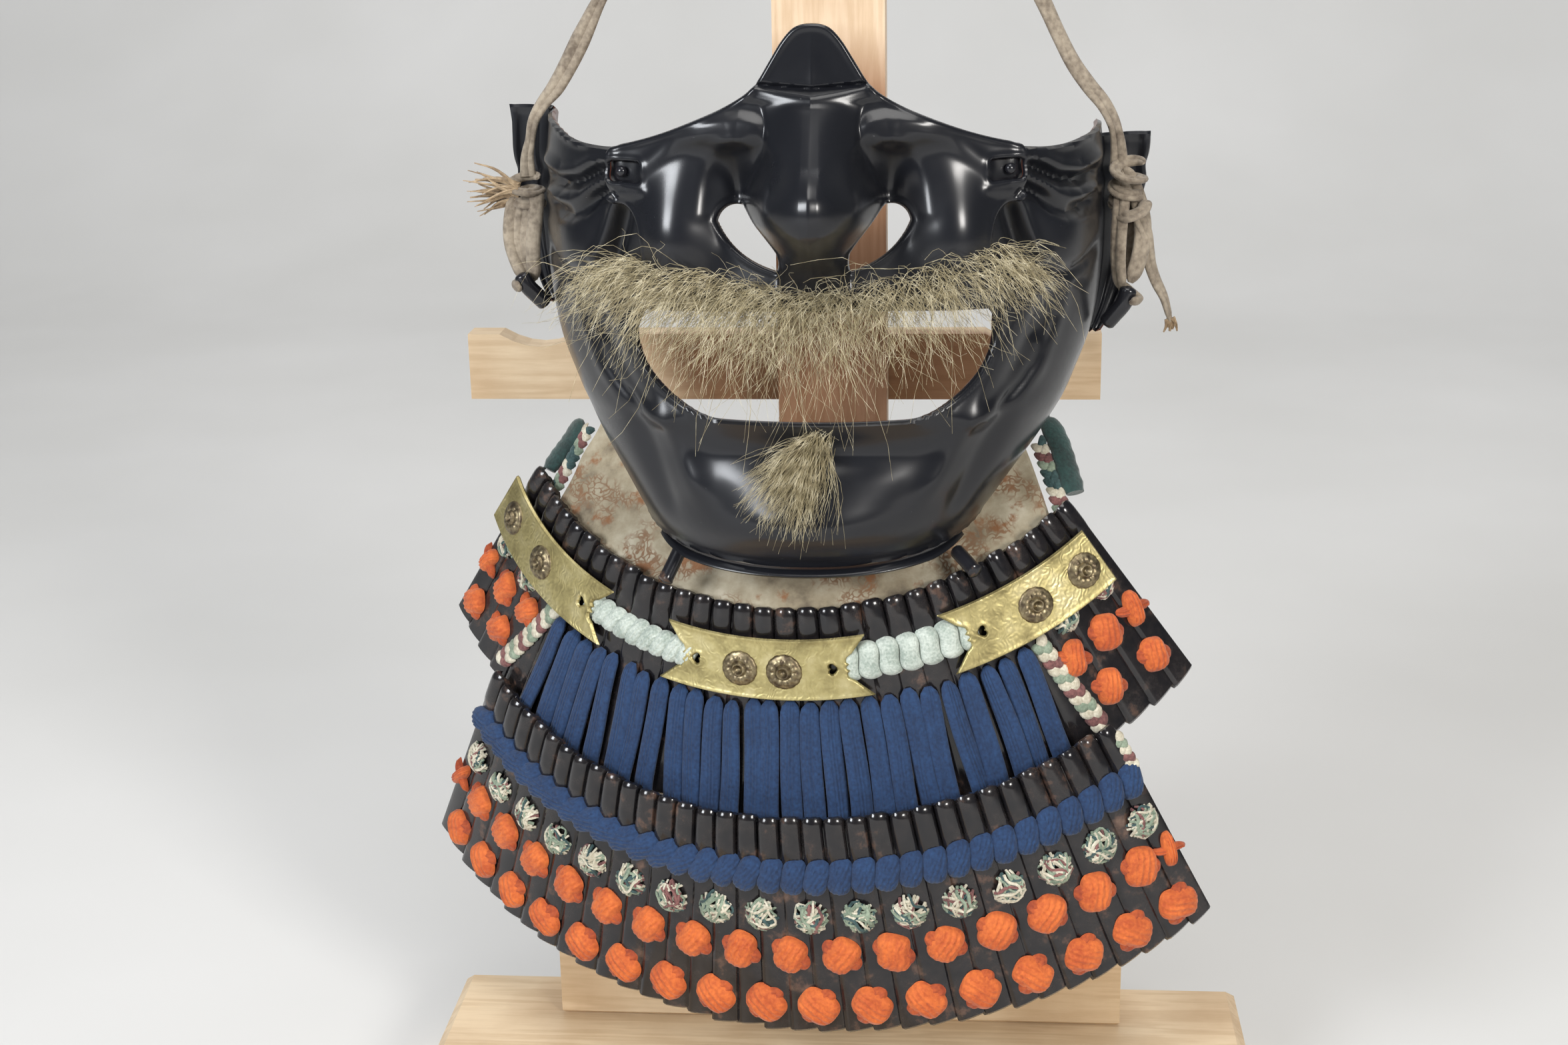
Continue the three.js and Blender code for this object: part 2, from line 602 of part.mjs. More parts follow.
function buildStuds() {
  for (const [name, sign] of [["stud_left", -1], ["stud_right", 1]]) {
    const round = roundAt(sign * STUD.side, SLOT.height);
    const foot = facePlace(round, SLOT.height, SEAM_GAP).toArray();
    const head = facePlace(round, SLOT.height, SEAM_GAP + STUD.high).toArray();
    rodPiece(name, foot, head, STUD.radius, 10, LACQUER);
  }
}

// The thin rim that turns outward under the chin.
function buildChinRim() {
  const wall = wallOverGrid(26, 1, (across, down, outer) => {
    const round = CHIN_RIM.reach * (2 * across - 1);
    const edge = facePoint(round, jawEdge(round));
    const inward = new THREE.Vector3(faceMiddle(edge.z), CHIN_RIM.aim, edge.z).sub(edge).normalize();
    const taper = Math.min(1, (1 - Math.abs(2 * across - 1)) * 3);
    edge.addScaledVector(inward, down ? MASK_WALL : -CHIN_RIM.out * taper);
    edge.z -= SEAM_GAP + (outer ? 0 : CHIN_RIM.thick);
    return edge;
  });
  addPiece("chin_rim", wall, LACQUER);
}

// Two pegs under the jaw, which the helmet cord is looped over.
function buildPegs() {
  for (const peg of PEGS) rodPiece(peg.name, peg.from, peg.to, PEG.radius, PEG.sides, LACQUER);
}

function buildEars() {
  for (const ear of EARS) {
    const wall = wallOverGrid(4, 7, (across, down, outer) => {
      const height = ear.high - (ear.high - ear.low) * down;
      const edge = facePoint(ear.sign, Math.min(height, 284));
      const spread = ear.foot + (ear.out - ear.foot) * (1 - down) ** 0.6;
      const turn = (across * Math.PI) / 2;
      const thin = outer ? 0 : MASK_WALL;
      return new THREE.Vector3(
        edge.x + ear.sign * (spread - (spread + thin) * Math.cos(turn)),
        edge.y + SEAM_GAP + (EAR_DEPTH + thin) * Math.sin(turn),
        height,
      );
    });
    addPiece(ear.name, wall, LACQUER);
  }
}

// ---- hair -----------------------------------------------------------------------------------------
// Plain solids of the hair's reach, lying on the lip and the chin.
function hairPiece(name, table, columns, rows) {
  const first = table[0].side;
  const reach = table[table.length - 1].side - first;
  const wall = wallOverGrid(columns, rows, (across, down, outer) => {
    const side = first + reach * across;
    const top = readTable(table, "side", "top", side);
    const bottom = readTable(table, "side", "bottom", side);
    const height = top - (top - bottom) * down;
    const rounded = 0.35 + 0.65 * Math.sin(Math.PI * Math.min(down + 0.12, 0.9));
    const thick = readTable(table, "side", "thick", side) * rounded;
    const foot = PLATE_LIFT + HAIR_GAP;
    return facePlace(roundAt(side, height), height, foot + (outer ? thick : 0));
  });
  addPiece(name, wall, HAIR);
}

// ---- the hanging cord -------------------------------------------------------------------------------
function lump(name, [x, y, z], [width, depth, height], material) {
  const { around, down } = KNOT_FACETS;
  const knot = addPiece(name, new THREE.SphereGeometry(1, around, down), material);
  knot.geometry.deleteAttribute("normal");
  knot.geometry.deleteAttribute("uv");
  knot.geometry = mergeVertices(knot.geometry, 1e-4);
  knot.geometry.scale(width / 2, depth / 2, height / 2);
  knot.position.set(x, y, z);
}

// ---- the throat guard -------------------------------------------------------------------------------
function coneFrame(cone) {
  const rad = THREE.MathUtils.degToRad;
  return new THREE.Matrix4().makeRotationY(rad(cone.roll))
    .multiply(new THREE.Matrix4().makeRotationZ(rad(cone.turn)))
    .multiply(new THREE.Matrix4().makeRotationX(rad(cone.tilt)))
    .setPosition(...cone.tip);
}

// A point of a cone's outside: angle in degrees from its front, slant from the tip, lift off the wall.
function conePlace(cone, angle, slant, lift) {
  const a = THREE.MathUtils.degToRad(angle);
  const b = THREE.MathUtils.degToRad(cone.flare);
  const round = slant * Math.sin(b) + lift * Math.cos(b);
  return new THREE.Vector3(
    round * Math.sin(a),
    -round * Math.cos(a),
    lift * Math.sin(b) - slant * Math.cos(b),
  ).applyMatrix4(coneFrame(cone));
}

// A lame of scales: its upper edge is notched between the scale heads.
function lamePiece(name, cone, tier) {
  const wall = wallOverGrid(2 * tier.scales, 2, (across, down, outer) => {
    const angle = tier.from + (tier.to - tier.from) * across;
    const between = Math.round(2 * tier.scales * across) % 2 === 0;
    const top = tier.top + (between ? tier.notch : 0);
    return conePlace(cone, angle, top + (tier.bottom - top) * down, outer ? 0 : -LAME);
  });
  addPiece(name, wall, LACQUER);
}

// A strip on a cone between two angles and two slants, lifted off the wall.
function stripPiece(name, cone, strip, material) {
  const wall = wallOverGrid(strip.columns, 1, (across, down, outer) => {
    const angle = strip.from + (strip.to - strip.from) * across;
    const slant = strip.top + (strip.bottom - strip.top) * down;
    return conePlace(cone, angle, slant, SEAM_GAP + (outer ? strip.thick : 0));
  });
  addPiece(name, wall, material);
}

// The collar leans back from the lame's heads, so it passes behind the jaw.
function collarPlace(angle, slant, lift) {
  const place = conePlace(UPPER_CONE, angle, slant, COLLAR.lift + lift);
  place.y += COLLAR.lean * (COLLAR.bottom - slant);
  return place;
}

// A strip across the collar's end. Its foot stands skew degrees nearer the front than its top.
function collarEnd(name, { angle, top }, skew, { half, bottom, thick, back }, columns, material) {
  const wall = wallOverGrid(columns, 3, (across, down, outer) => {
    const at = angle - skew * down + half * (2 * across - 1);
    return collarPlace(at, top + (bottom - top) * down, (outer ? thick : 0) - back);
  });
  addPiece(name, wall, material);
}

function buildCollar() {
  const skew = COLLAR_ENDS[1].skew;
  const wall = wallOverGrid(COLLAR.columns, 2, (across, down, outer) => {
    const end = COLLAR.to - skew * down;
    const top = readTable(COLLAR_TOP, "angle", "top", COLLAR.from + (COLLAR.to - COLLAR.from) * across);
    const slant = top + (COLLAR.bottom - top) * down;
    return collarPlace(COLLAR.from + (end - COLLAR.from) * across, slant, outer ? COLLAR.thick : 0);
  });
  addPiece("collar_leather", wall, LEATHER);
  for (const end of COLLAR_ENDS) {
    collarEnd(`collar_braid_${end.side}`, end.braid, end.skew, END_BRAID, 1, MOTTLED_SILK);
    collarEnd(`collar_rim_${end.side}`, end.rim, end.skew, END_RIM, 2, DARK_CLOTH);
  }
}

function buildPlates() {
  for (const plate of PLATES) {
    const wall = wallOverGrid(10, 4, (across, down, outer) => {
      const inset = PLATE.notch * (1 - Math.abs(2 * down - 1));
      const from = plate.from + (plate.cutFrom ? inset : 0);
      const to = plate.to - (plate.cutTo ? inset : 0);
      const slant = PLATE.top + (PLATE.bottom - PLATE.top) * down;
      const lift = PLATE.lift + (outer ? PLATE.thick : 0);
      return conePlace(UPPER_CONE, from + (to - from) * across, slant, lift);
    });
    addPiece(`brass_plate_${plate.name}`, wall, BRASS);
    plate.rivets.forEach((angle, i) => buildRivet(`rivet_${plate.name}_${i + 1}`, angle));
  }
}

function buildRivet(name, angle) {
  const lift = PLATE.lift + PLATE.thick + RIVET.gap;
  const foot = conePlace(UPPER_CONE, angle, RIVET.slant, lift);
  const head = conePlace(UPPER_CONE, angle, RIVET.slant, lift + RIVET.high);
  const rivet = addPiece(name, new THREE.CylinderGeometry(RIVET.head, RIVET.foot, RIVET.high, 12), BRASS);
  rivet.position.copy(foot).add(head).multiplyScalar(0.5);
  rivet.quaternion.setFromUnitVectors(new THREE.Vector3(0, 1, 0), head.sub(foot).normalize());
}

function buildPaleBraids() {
  for (const braid of PALE_BRAIDS) {
    stripPiece(`pale_braid_${braid.name}`, UPPER_CONE, { ...PALE_BRAID, ...braid }, PALE_SILK);
  }
}

// Close lacing: one ridge for each flat lace, running down behind the lower tier's heads.
function buildLacing() {
  const wall = wallOverGrid(2 * LACING.laces, 3, (across, down, outer) => {
    const angle = LACING.from + (LACING.to - LACING.from) * across;
    const between = Math.round(2 * LACING.laces * across) % 2 === 0;
    const thick = LACING.thick - (between ? LACING.crease : 0);
    const top = LACING.top + (between ? LACING.dip : 0);
    return conePlace(UPPER_CONE, angle, top + (LACING.bottom - top) * down, SEAM_GAP + (outer ? thick : 0));
  });
  addPiece("blue_lacing", wall, BLUE_SILK);
  for (const braid of EDGE_BRAIDS) {
    const strip = wallOverGrid(1, 4, (across, down, outer) => {
      const angle = braid.topAngle + (braid.bottomAngle - braid.topAngle) * down;
      const slant = EDGE_BRAID.top + (EDGE_BRAID.bottom - EDGE_BRAID.top) * down;
      const side = EDGE_BRAID.half * (2 * across - 1);
      return conePlace(UPPER_CONE, angle + side, slant, SEAM_GAP + (outer ? EDGE_BRAID.thick : 0));
    });
    addPiece(`edge_braid_${braid.name}`, strip, MOTTLED_SILK);
  }
}

buildBoard();
buildBlock();
buildPost();
buildCrossbar();
buildBowl();
buildNosePlate();
buildStuds();
buildChinRim();
buildPegs();
buildEars();
for (const lug of LUGS) tubePiece(lug.name, lug.route, LUG.radius, LUG.sides, LUG.steps, LACQUER);
hairPiece("moustache", MOUSTACHE, 16, 3);
hairPiece("goatee", GOATEE, 6, 3);
tubePiece("hanging_cord", CORD_ROUTE, CORD.radius, CORD.sides, CORD.steps, HEMP);
tubePiece("cord_tail", TAIL_ROUTE, TAIL.radius, TAIL.sides, TAIL.steps, HEMP);
for (const knot of KNOTS) lump(knot.name, knot.place, knot.size, HEMP);
lamePiece("tier_upper", UPPER_CONE, UPPER_TIER);
lamePiece("tier_lower", LOWER_CONE, LOWER_TIER);
buildCollar();
buildPlates();
buildPaleBraids();
buildLacing();
stripPiece("blue_braid", LOWER_CONE, LOWER_BRAID, BLUE_SILK);

export default object;
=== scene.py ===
import math
import random

import bpy
import numpy as np
from mathutils import Matrix, Vector


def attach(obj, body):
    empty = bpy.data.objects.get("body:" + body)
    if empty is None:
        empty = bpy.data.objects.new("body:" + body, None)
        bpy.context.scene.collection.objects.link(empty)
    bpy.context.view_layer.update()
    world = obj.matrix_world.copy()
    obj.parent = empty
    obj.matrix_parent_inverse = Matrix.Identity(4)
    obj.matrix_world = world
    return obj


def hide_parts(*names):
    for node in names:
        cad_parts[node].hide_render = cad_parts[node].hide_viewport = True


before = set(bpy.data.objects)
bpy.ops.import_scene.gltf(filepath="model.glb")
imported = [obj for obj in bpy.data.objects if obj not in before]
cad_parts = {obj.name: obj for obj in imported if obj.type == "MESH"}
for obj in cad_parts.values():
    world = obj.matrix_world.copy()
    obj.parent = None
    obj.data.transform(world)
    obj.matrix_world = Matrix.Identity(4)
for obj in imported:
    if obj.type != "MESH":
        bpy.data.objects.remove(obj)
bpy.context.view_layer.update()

# ---- camera --------------------------------------------------------------------------------------
# A 50 mm lens just above the mask, turned a little to the wearer's left and looking down, with
# the slight lean of a hand-held shot.
MM = 0.001
CAMERA_PLACE = (0.03496, -0.52263, 0.350)
VIEW_TURN = math.radians(4.8)
VIEW_DOWN = math.radians(17)
VIEW_LEAN = math.radians(-1.08)
forward = Vector((
    -math.sin(VIEW_TURN) * math.cos(VIEW_DOWN),
    math.cos(VIEW_TURN) * math.cos(VIEW_DOWN),
    -math.sin(VIEW_DOWN),
))
level = Vector((math.cos(VIEW_TURN), math.sin(VIEW_TURN), 0))
above = level.cross(forward)
view_right = level * math.cos(VIEW_LEAN) + above * math.sin(VIEW_LEAN)
view_up = above * math.cos(VIEW_LEAN) - level * math.sin(VIEW_LEAN)
camera_data = bpy.data.cameras.new("camera")
camera_data.lens = 50
camera_data.sensor_width = 36
camera_data.clip_start = 0.05
camera = bpy.data.objects.new("camera", camera_data)
bpy.context.scene.collection.objects.link(camera)
rows = [(view_right[k], view_up[k], -forward[k], CAMERA_PLACE[k]) for k in range(3)]
camera.matrix_world = Matrix(rows + [(0, 0, 0, 1)])
bpy.context.scene.camera = camera

# ---- hanging cord --------------------------------------------------------------------------------
# A soft hemp tape folded lengthwise into a cord. It is tied at both ear hooks and hangs the mask
# from the top of the post. Left end: a wrapped knot with frayed ends. Right end: a wrapped knot
# and a free tail.
CORD_ROUTE = MM * np.array([
    (-78.7, 45.8, 270.6), (-78.8, 46.5, 275.5), (-77.9, 47, 280), (-76.9, 47.6, 284.8),
    (-74.6, 48.4, 289), (-71, 49, 293.2), (-67.2, 50, 299.4), (-63, 51, 307.3), (-58.8, 52, 315.3),
    (-43.6, 54.5, 340), (-28, 57.5, 360), (-19.1, 60, 371), (-14.1, 62.5, 375.6),
    (0.4, 62.5, 374.9), (14.9, 62.5, 375.6), (19.9, 60, 370.5), (31, 57.5, 354), (44.5, 54.5, 333.5),
    (51.8, 53, 321), (56.2, 52, 312.6), (59.6, 51.5, 305.5), (63.6, 50.5, 298), (67.8, 49.6, 292.2),
    (71.5, 48.8, 287.8), (74, 48, 283.2), (75.1, 47, 279), (75.5, 46.4, 274.8), (75.6, 45.8, 271.6),
])
CORD_HALF_WIDTH = 0.0022
CORD_HALF_THICK = 0.0013
# How wide the tape lies, from the left knot over the post to the right one: share of its length, size
CORD_WIDTHS = np.array([
    (0, 1.0), (0.035, 0.62), (0.07, 0.9), (0.09, 1.18), (0.14, 1.2), (0.18, 0.9), (0.30, 0.85),
    (0.45, 0.95), (0.62, 1.0), (0.75, 0.95), (0.86, 1.05), (0.93, 0.95), (0.965, 0.8), (1, 1.12),
])
TAIL_ROUTE = MM * np.array([
    (79.5, 39.5, 262), (82.0, 38.6, 257), (83.2, 39.4, 251), (83.9, 40, 247.5), (85.4, 40, 243.4),
    (87.6, 40, 239), (89.5, 40, 232.6),
])


def unit(vectors):
    return vectors / np.maximum(np.linalg.norm(vectors, axis=-1, keepdims=True), 1e-12)


def between(t, start, end, first, last):
    """Where t lies on the run from first, reached at start, to last, reached at end."""
    return ((end - t) * first + (t - start) * last) / (end - start)


def smooth_route(points, count):
    """count points, evenly spaced, on a smooth curve through the given ones."""
    points = np.asarray(points, float)
    ends = np.vstack([2 * points[0] - points[1], points, 2 * points[-1] - points[-2]])
    knots = np.concatenate([[0], np.cumsum(np.linalg.norm(np.diff(ends, axis=0), axis=1) ** 0.5)])
    fine = []
    for i in range(1, len(ends) - 2):
        t = np.linspace(knots[i], knots[i + 1], 24, endpoint=False)[:, None]
        runs = [between(t, knots[k], knots[k + 1], ends[k], ends[k + 1]) for k in (i - 1, i, i + 1)]
        bends = [between(t, knots[i - 1 + k], knots[i + 1 + k], runs[k], runs[k + 1]) for k in (0, 1)]
        fine.append(between(t, knots[i], knots[i + 1], *bends))
    fine = np.concatenate(fine + [ends[-2:-1]])
    run = np.concatenate([[0], np.cumsum(np.linalg.norm(np.diff(fine, axis=0), axis=1))])
    places = np.linspace(0, run[-1], count)
    return np.stack([np.interp(places, run, fine[:, k]) for k in range(3)], axis=1)


def carried_ups(along):
    """An up direction for each step of a route, carried along it with no twist."""
    up = np.array((0.0, -1.0, 0.0))
    ups = []
    for direction in along:
        up = up - direction * np.dot(up, direction)
        up = up / np.linalg.norm(up)
        ups.append(up)
    return np.array(ups)


def quads(grid, closed=False):
    """Four-sided faces between the points of a grid; closed joins its last column to its first."""
    following = np.roll(grid, -1, axis=1)
    faces = np.stack([grid[:-1], grid[1:], following[1:], following[:-1]], -1)
    return (faces if closed else faces[:, :-1]).reshape(-1, 4)


def close_rim(rim, middle):
    """Triangles from a closed rim of points to one in its middle."""
    return np.stack([rim, np.roll(rim, -1), np.full(len(rim), middle), np.full(len(rim), -1)], -1)


def sweep(path, profile, ups=None, sizes=None, turns=None, paint=0):
    """A closed tube: the profile (side, up) carried along the path. Returns points, faces, paints."""
    path = np.asarray(path, float)
    count = len(path)
    profile = np.broadcast_to(profile, (count,) + np.shape(profile)[-2:])
    around = profile.shape[1]
    along = unit(np.gradient(path, axis=0))
    ups = carried_ups(along) if ups is None else np.broadcast_to(ups, path.shape)
    side = unit(np.cross(along, ups))
    up = np.cross(side, along)
    if turns is not None:
        c, s = np.cos(turns)[:, None], np.sin(turns)[:, None]
        side, up = side * c + up * s, up * c - side * s
    sizes = np.ones(count) if sizes is None else sizes
    rings = path[:, None] + sizes[:, None, None] * (
        profile[:, :, :1] * side[:, None] + profile[:, :, 1:] * up[:, None]
    )
    points = np.concatenate([rings.reshape(-1, 3), path[:1], path[-1:]])
    ring = np.arange(count * around).reshape(count, around)
    faces = np.concatenate([
        quads(ring, closed=True),
        close_rim(ring[0], count * around),
        close_rim(ring[-1][::-1], count * around + 1),
    ])
    return points, faces, np.full(len(faces), paint)


def join(parts):
    """One set of points, faces and paints from several."""
    points, faces, paints = zip(*parts)
    starts = np.concatenate([[0], np.cumsum([len(p) for p in points])])
    faces = [np.where(f < 0, -1, f + start) for f, start in zip(faces, starts)]
    return np.concatenate(points), np.concatenate(faces), np.concatenate(paints)


def put(name, part, finishes, replaced=()):
    """Makes the piece's mesh, gives it its finishes and fixes it to the part."""
    points, faces, paints = part
    mesh = bpy.data.meshes.new(name)
    mesh.from_pydata(points.tolist(), [], [f[:3] if f[3] < 0 else f for f in faces.tolist()])
    for finish in finishes:
        mesh.materials.append(finish)
    mesh.polygons.foreach_set("material_index", np.asarray(paints, np.int32))
    mesh.polygons.foreach_set("use_smooth", np.ones(len(mesh.polygons), bool))
    mesh.update()
    mesh.set_sharp_from_angle(angle=math.radians(42))
    piece = bpy.data.objects.new(name, mesh)
    bpy.context.scene.collection.objects.link(piece)
    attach(piece, "root")
    if replaced:
        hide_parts(*replaced)
    return piece


def new_finish(name, color, roughness, metallic=0.0):
    """A material with its shader's plain numbers set; returns it and a maker of more nodes."""
    finish = bpy.data.materials.new(name)
    finish.use_nodes = True
    tree = finish.node_tree
    shader = tree.nodes["Principled BSDF"]
    shader.inputs["Base Color"].default_value = (*color, 1)
    shader.inputs["Roughness"].default_value = roughness
    shader.inputs["Metallic"].default_value = metallic

    def node(kind, inputs=None, **settings):
        made = tree.nodes.new("ShaderNode" + kind)
        for key, value in settings.items():
            setattr(made, key, value)
        for key, value in (inputs or {}).items():
            if isinstance(value, bpy.types.NodeSocket):
                tree.links.new(value, made.inputs[key])
            else:
                made.inputs[key].default_value = value
        return made

    return finish, shader, node, tree.links.new


def place_noise(node, scale, detail, stretch=(1, 1, 1), roughness=0.5):
    """Noise fixed to the part, its scale per metre, drawn out along an axis if wanted."""
    here = node("TexCoord").outputs["Object"]
    mapped = node("Mapping", {"Vector": here, "Scale": stretch}).outputs["Vector"]
    noise = node("TexNoise", {"Vector": mapped, "Scale": scale, "Detail": detail, "Roughness": roughness})
    return noise.outputs["Fac"]


def ramp(node, value, stops):
    """A colour ramp over value; stops are (place, colour or grey)."""
    made = node("ValToRGB", {"Fac": value})
    elements = made.color_ramp.elements
    while len(elements) < len(stops):
        elements.new(0.5)
    for element, (place, color) in zip(elements, stops):
        element.position = place
        element.color = (*color, 1) if hasattr(color, "__len__") else (color, color, color, 1)
    return made.outputs["Color"]


def tint(node, link, shader, value, stops):
    """The piece's colour, from a value and its stops."""
    link(ramp(node, value, stops), shader.inputs["Base Color"])


def bump(node, link, shader, height, strength, distance):
    made = node("Bump", {"Height": height, "Strength": strength, "Distance": distance})
    link(made.outputs["Normal"], shader.inputs["Normal"])


def cloth_finish(name, dark, light, scale, depth=0.00015, sheen=0.2, roughness=0.85, blotch=1.0):
    """Thread or cloth: fine fibre noise over a slow change of colour, which blotch strengthens."""
    finish, shader, node, link = new_finish(name, light, roughness)
    shader.inputs["Sheen Weight"].default_value = sheen
    shader.inputs["Sheen Roughness"].default_value = 0.5
    fine = place_noise(node, scale, 6)
    slow = place_noise(node, scale / 7, 3)
    both = node("Math", {0: slow, 1: blotch, 2: fine}, operation="MULTIPLY_ADD").outputs[0]
    low, high = 0.5 * (1 + blotch) - 0.25, 0.5 * (1 + blotch) + 0.25
    spread = node("MapRange", {"Value": both, "From Min": low, "From Max": high}).outputs[0]
    tint(node, link, shader, spread, [(0, dark), (1, light)])
    bump(node, link, shader, fine, 0.7, depth)
    return finish


hemp = cloth_finish("hemp", (0.13, 0.10, 0.072), (0.34, 0.285, 0.215), 700, 0.0003)
frayed_hemp = cloth_finish("frayed_hemp", (0.16, 0.10, 0.05), (0.42, 0.31, 0.19), 900, 0.0002)

CORD_RINGS = 240
turn = np.linspace(0, 2 * np.pi, 20, endpoint=False)
fold = 1 - 0.42 * np.exp(-(((turn - 1.25) / 0.30) ** 2)) - 0.08 * np.exp(-(((turn - 4.3) / 0.4) ** 2))
cord_profile = np.stack([CORD_HALF_WIDTH * fold * np.cos(turn), CORD_HALF_THICK * fold * np.sin(turn)], 1)
cord_path = smooth_route(CORD_ROUTE, CORD_RINGS)
steps = np.linspace(0, 1, CORD_RINGS)
cord_turns = 0.35 * np.sin(9 * steps) + 0.2 * np.sin(31 * steps)
cord_sizes = np.interp(steps, *CORD_WIDTHS.T) * (1 + 0.03 * np.sin(57 * steps))
hanging_cord = put(
    "hanging_cord_tape", sweep(cord_path, cord_profile, sizes=cord_sizes, turns=cord_turns),
    [hemp], ["hanging_cord"],
)

TAIL_RINGS = 40
TAIL_SHARE = 0.88
tail_path = smooth_route(TAIL_ROUTE, TAIL_RINGS)
tail_steps = np.linspace(0, 1, TAIL_RINGS)
tail_sizes = np.interp(tail_steps, [0, 0.1, 0.7, 0.93, 1], [0.8, 0.95, 0.95, 0.75, 0.35])
cord_tail = put(
    "cord_tail_tape", sweep(tail_path, TAIL_SHARE * cord_profile, sizes=tail_sizes, turns=1.4 * tail_steps),
    [hemp], ["cord_tail"],
)


def coil_route(middle, radius_x, radius_y, top, bottom, turns, lean):
    """Turns of cord wound round an upright bundle."""
    steps = np.linspace(0, 1, int(28 * turns))
    angle = 2 * np.pi * turns * steps
    return np.stack([
        middle[0] + radius_x * np.cos(angle) + lean * (steps - 0.5),
        middle[1] + radius_y * np.sin(angle),
        top + (bottom - top) * steps + 0.0009 * np.sin(angle),
    ], 1)


def end_sizes(count):
    """Ring sizes that round off both ends of a strand."""
    steps = np.linspace(0, 1, count)
    return 0.35 + 0.65 * np.clip(np.sin(np.pi * steps) * 4, 0, 1) ** 0.6


def cord_strand(count, width, twist, points):
    path = smooth_route(MM * np.array(points), count)
    return sweep(path, width * cord_profile, sizes=end_sizes(count), turns=np.linspace(0, twist, count))


# The strands bundled inside each coil: rings, width, twist, route
LEFT_STRANDS = [
    (30, 1.5, 0.8, [
        (-79.4, 44, 268), (-81.2, 41, 262), (-81.8, 40, 255), (-80.2, 38.9, 249), (-78.2, 37.6, 245),
    ]),
    (30, 1.5, -0.9, [
        (-77, 43, 268), (-77.2, 40, 261), (-77.6, 38.4, 254), (-77.4, 38, 248), (-76.6, 37, 244.6),
    ]),
    (26, 1.6, 0.4, [(-79, 43, 267), (-79.4, 41.2, 259), (-79.5, 40, 252), (-78, 39.2, 246)]),
    (22, 0.7, 0.2, [(-76.5, 37.4, 246), (-79.5, 37.2, 244.4), (-81.4, 35, 243.6), (-79.6, 31.4, 244)]),
]
RIGHT_STRANDS = [
    (32, 1.05, 0.8, [
        (76.4, 45.2, 272), (79.6, 42, 266), (81.6, 39.6, 258), (80.8, 37.6, 250), (78.6, 36.8, 243.5),
    ]),
    (32, 1.0, -0.9, [
        (76.4, 45, 270), (76, 39.6, 264), (75.4, 37.4, 256), (75.4, 36.4, 248), (76.2, 36, 242),
    ]),
    (28, 1.0, 0.5, [(77, 45, 268), (79.2, 43.4, 260), (79, 42, 252), (77.6, 39.8, 244)]),
    (22, 0.8, 0.3, [(74.4, 42, 262.5), (77, 37, 260.5), (81.2, 37.4, 262), (82.4, 41, 264)]),
    (22, 0.7, 0.2, [(76, 37, 243), (79, 36.8, 240.6), (80.6, 34, 239.4), (78.6, 30.8, 240)]),
]
LEFT_WRAPS = coil_route((-0.0788, 0.0435), 0.0036, 0.0034, 0.2705, 0.2625, 2.6, 0.001)
RIGHT_WRAPS = coil_route((0.0776, 0.0425), 0.0036, 0.0036, 0.2735, 0.2630, 2.7, -0.001)


def cord_knot(name, wraps, share, strands):
    """A knot in the hanging cord: the cord wrapped round itself, with strands lying over it."""
    knot = [sweep(wraps, share * cord_profile, sizes=end_sizes(len(wraps)))]
    knot += [cord_strand(*strand) for strand in strands]
    return put(f"cord_knot_{name}_wraps", join(knot), [hemp], [f"cord_knot_{name}"])


left_knot = cord_knot("left", LEFT_WRAPS, 0.72, LEFT_STRANDS)

random.seed(11)
FRAYS = 26
TAIL_TIPS = 9
frays = []
for i in range(FRAYS):
    spread = random.uniform(-0.55, 0.5)
    reach = random.uniform(9, 15.5) * (1 - 0.35 * abs(spread))
    lift = random.uniform(-1.5, 2.5)
    start = np.array([-80.5, 42 + random.uniform(-2, 1.5), 266.5 + random.uniform(-2.2, 2.2)])
    tip = start + np.array([-reach * math.cos(spread), lift, reach * math.sin(spread) + 1.5])
    bend = (start + tip) / 2 + np.array([0, random.uniform(-1, 1), random.uniform(-0.8, 1.6)])
    path = smooth_route(MM * np.array([start, bend, tip]), 9)
    width = random.uniform(0.22, 0.5)
    sizes = np.interp(np.linspace(0, 1, 9), [0, 0.6, 1], [1, 0.9, 0.25]) * width
    frays.append(sweep(path, cord_profile[::2], sizes=sizes, turns=np.linspace(0, 2, 9)))
frayed_end = put("cord_frayed_ends", join(frays), [frayed_hemp], ["cord_frayed_end"])
right_knot = cord_knot("right", RIGHT_WRAPS, 0.74, RIGHT_STRANDS)

tips = []
for i in range(TAIL_TIPS):
    loose = np.array([random.uniform(-1, 0.8), random.uniform(-0.6, 0.6), random.uniform(0, 1.5)])
    start = TAIL_ROUTE[-1] / MM + loose
    tip = start + np.array([random.uniform(-0.8, 1.4), random.uniform(-0.5, 0.5), random.uniform(-4, -1.6)])
    path = smooth_route(MM * np.array([start, (start + tip) / 2 + (0.3, 0, 0), tip]), 6)
    tips.append(sweep(path, 0.3 * cord_profile[::2], sizes=np.linspace(1, 0.3, 6)))
tail_fringe = put("cord_tail_fringe", join(tips), [frayed_hemp])

# ---- stand ---------------------------------------------------------------------------------------
# A board, a foot block, a post and a crossbar of planed pine, glued and screwed from behind. The
# sawn edges are only just eased, and the wood is waxed lightly.


# painted shade: where the darkened patch on the wood behind the mask is centred, and how far it reaches
PAINTED_SHADE_REACH = (0.062, 0.013, 0.075)
PAINTED_SHADE_HEIGHT = 0.240


def mix(node, factor, below, above, blend="MIX"):
    """One colour laid over another by a factor."""
    made = node("Mix", {"Factor": factor, 6: below, 7: above}, data_type="RGBA", blend_type=blend)
    return made.outputs[2]


